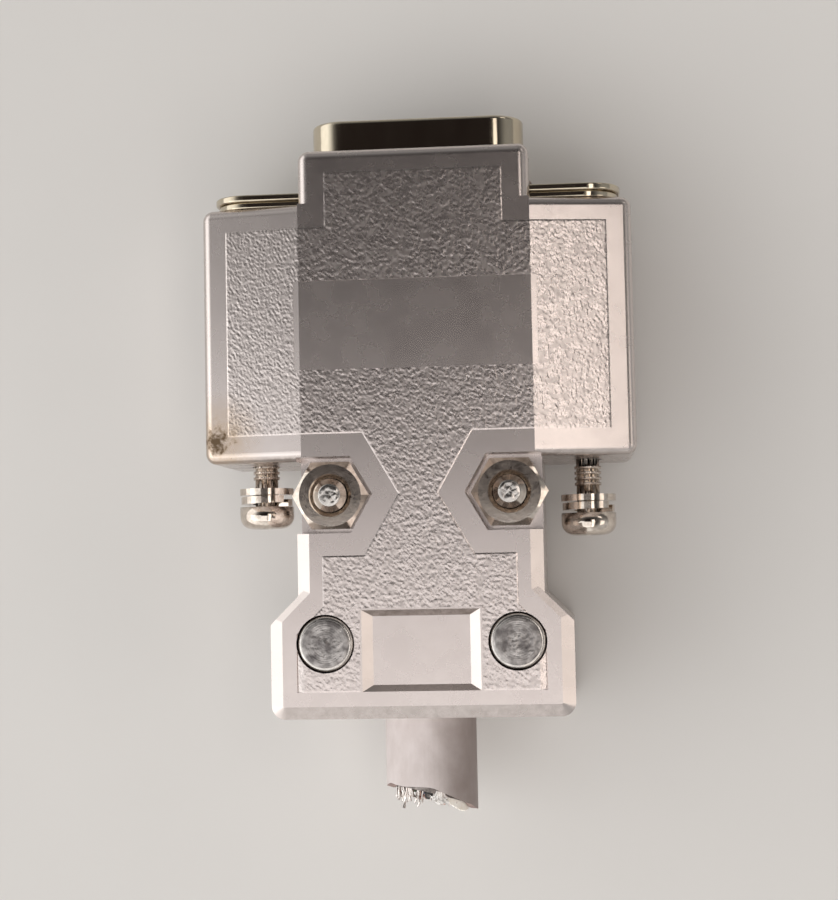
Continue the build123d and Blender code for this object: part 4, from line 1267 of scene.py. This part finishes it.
@dataclass(frozen=True)
class Lamp:
    """A large soft panel overhead, given by the patch of ceiling that it fills, in metres."""

    name: str
    x: Span
    y: Span
    radiance: float
    colour: str
    height: float = 0.45

    def build(self) -> None:
        """Hangs the panel level, facing down."""
        data = bpy.data.lights.new(self.name, "AREA")
        data.shape = "RECTANGLE"
        data.size, data.size_y = self.x[1] - self.x[0], self.y[1] - self.y[0]
        data.energy = self.radiance * math.pi * data.size * data.size_y
        data.color = linear(self.colour)[:3]
        lamp = bpy.data.objects.new(self.name, data)
        lamp.location = (sum(self.x) / 2, sum(self.y) / 2, self.height)
        bpy.context.collection.objects.link(lamp)


@dataclass
class Studio:
    """Pale floor, soft ceiling panels and the camera at the photograph's place."""

    camera_place: Triple = (11.76, -28.13, 141.05)
    camera_turn: Triple = (0.061, 0.088, -0.020)
    lens: float = 78.46
    sensor: float = 36.0
    # The floor lies a little under the casting's flat back, because the rear grain stands out of it.
    floor_gap: float = 0.04
    floor_reach: float = 1500.0
    horizon: str = "#F0EFED"
    overhead: str = "#2C2524"
    # Where the surround darkens with height, and how its strength changes from left to right and from near to far.
    darkening: Span = (0.45, 0.95)
    left_strength: Ramp = (-0.9, 0.5, 1.9, 0.6)
    near_strength: Ramp = (-0.3, 0.6, 1.15, 0.3)
    open_side: Ramp = (-0.3, -0.65, 0.0, 1.0)
    lamps: tuple[Lamp, ...] = (
        Lamp("far left panel", (-0.95, -0.42), (-0.45, 0.10), 1.2, "#FFFFFF"),
        Lamp("left panel", (-0.42, -0.15), (-0.50, 0.032), 1.2, "#FFFFFF"),
        Lamp("near panel", (-0.15, 0.08), (-0.50, -0.018), 1.34, "#FFFCFB"),
        Lamp("right panel", (0.105, 0.21), (-0.50, 0.13), 2.45, "#FFF6EF"),
        Lamp("far right corner panel", (0.45, 0.80), (0.42, 0.80), 1.6, "#FFF6EF"),
        Lamp("far right strip", (0.52, 1.1), (-0.35, 0.08), 1.2, "#FFF3E8"),
    )

    def floor(self) -> None:
        """Lays the pale floor under the connector."""
        low, reach = CAD_BOX[0][2] / MM - self.floor_gap, self.floor_reach
        work = bmesh.new()
        work.faces.new([work.verts.new((x * reach, y * reach, low)) for x, y in ((-1, -1), (1, -1), (1, 1), (-1, 1))])
        board = finished("floor", work, smooth=False)
        coat(board, BOARD.material())

    def world(self) -> None:
        """Sets a pale surround that darkens overhead, where the camera hangs."""
        world = bpy.data.worlds.new("soft surround")
        world.use_nodes = True
        world.node_tree.nodes.clear()
        add = partial(add_node, world.node_tree)
        x, y, z = add("ShaderNodeSeparateXYZ", (add("ShaderNodeTexCoord").outputs["Generated"],)).outputs
        high = add("ShaderNodeMapRange", (z, *self.darkening), interpolation_type="SMOOTHSTEP")
        colour = add("ShaderNodeMix", {0: high, 6: linear(self.horizon), 7: linear(self.overhead)}, data_type="RGBA")
        left = add("ShaderNodeMapRange", (x, *self.left_strength))
        near = add("ShaderNodeMapRange", (y, *self.near_strength))
        side = add("ShaderNodeMapRange", (x, *self.open_side))
        strongest = add("ShaderNodeMath", (near, side), operation="MAXIMUM")
        glow = add("ShaderNodeMath", (left, strongest), operation="MULTIPLY")
        light = add("ShaderNodeBackground", {"Color": colour.outputs[2], "Strength": glow})
        add("ShaderNodeOutputWorld", (light,))
        bpy.context.scene.world = world

    def camera(self) -> None:
        """Sets the camera where the photograph was taken from."""
        data = bpy.data.cameras.new("camera")
        data.sensor_fit, data.sensor_width, data.lens = "HORIZONTAL", self.sensor, self.lens
        data.clip_start = 0.01
        camera = bpy.data.objects.new("camera", data)
        x, y, z = self.camera_turn
        turn = Matrix.Rotation(z, 4, "Z") @ Matrix.Rotation(y, 4, "Y") @ Matrix.Rotation(x, 4, "X")
        camera.matrix_world = Matrix.Translation(Vector(self.camera_place) * MM) @ turn
        bpy.context.collection.objects.link(camera)
        bpy.context.scene.camera = camera

    def build(self) -> None:
        """Sets up everything that isn't the connector."""
        self.floor()
        self.world()
        for lamp in self.lamps:
            lamp.build()
        self.camera()
        bpy.context.scene.view_settings.view_transform = "Standard"
        LOG.info("studio with %d lamps", len(self.lamps))


def main() -> None:
    """Builds every sub-assembly in order and logs its name."""
    logging.basicConfig(level=logging.INFO, format="%(name)s: %(message)s")
    for part in (Hood(), HoodFasteners(), JackScrews(), Coupling(), CableEnd(), Studio()):
        LOG.info("building %s", type(part).__name__)
        part.build()


if __name__ == "__main__":
    main()
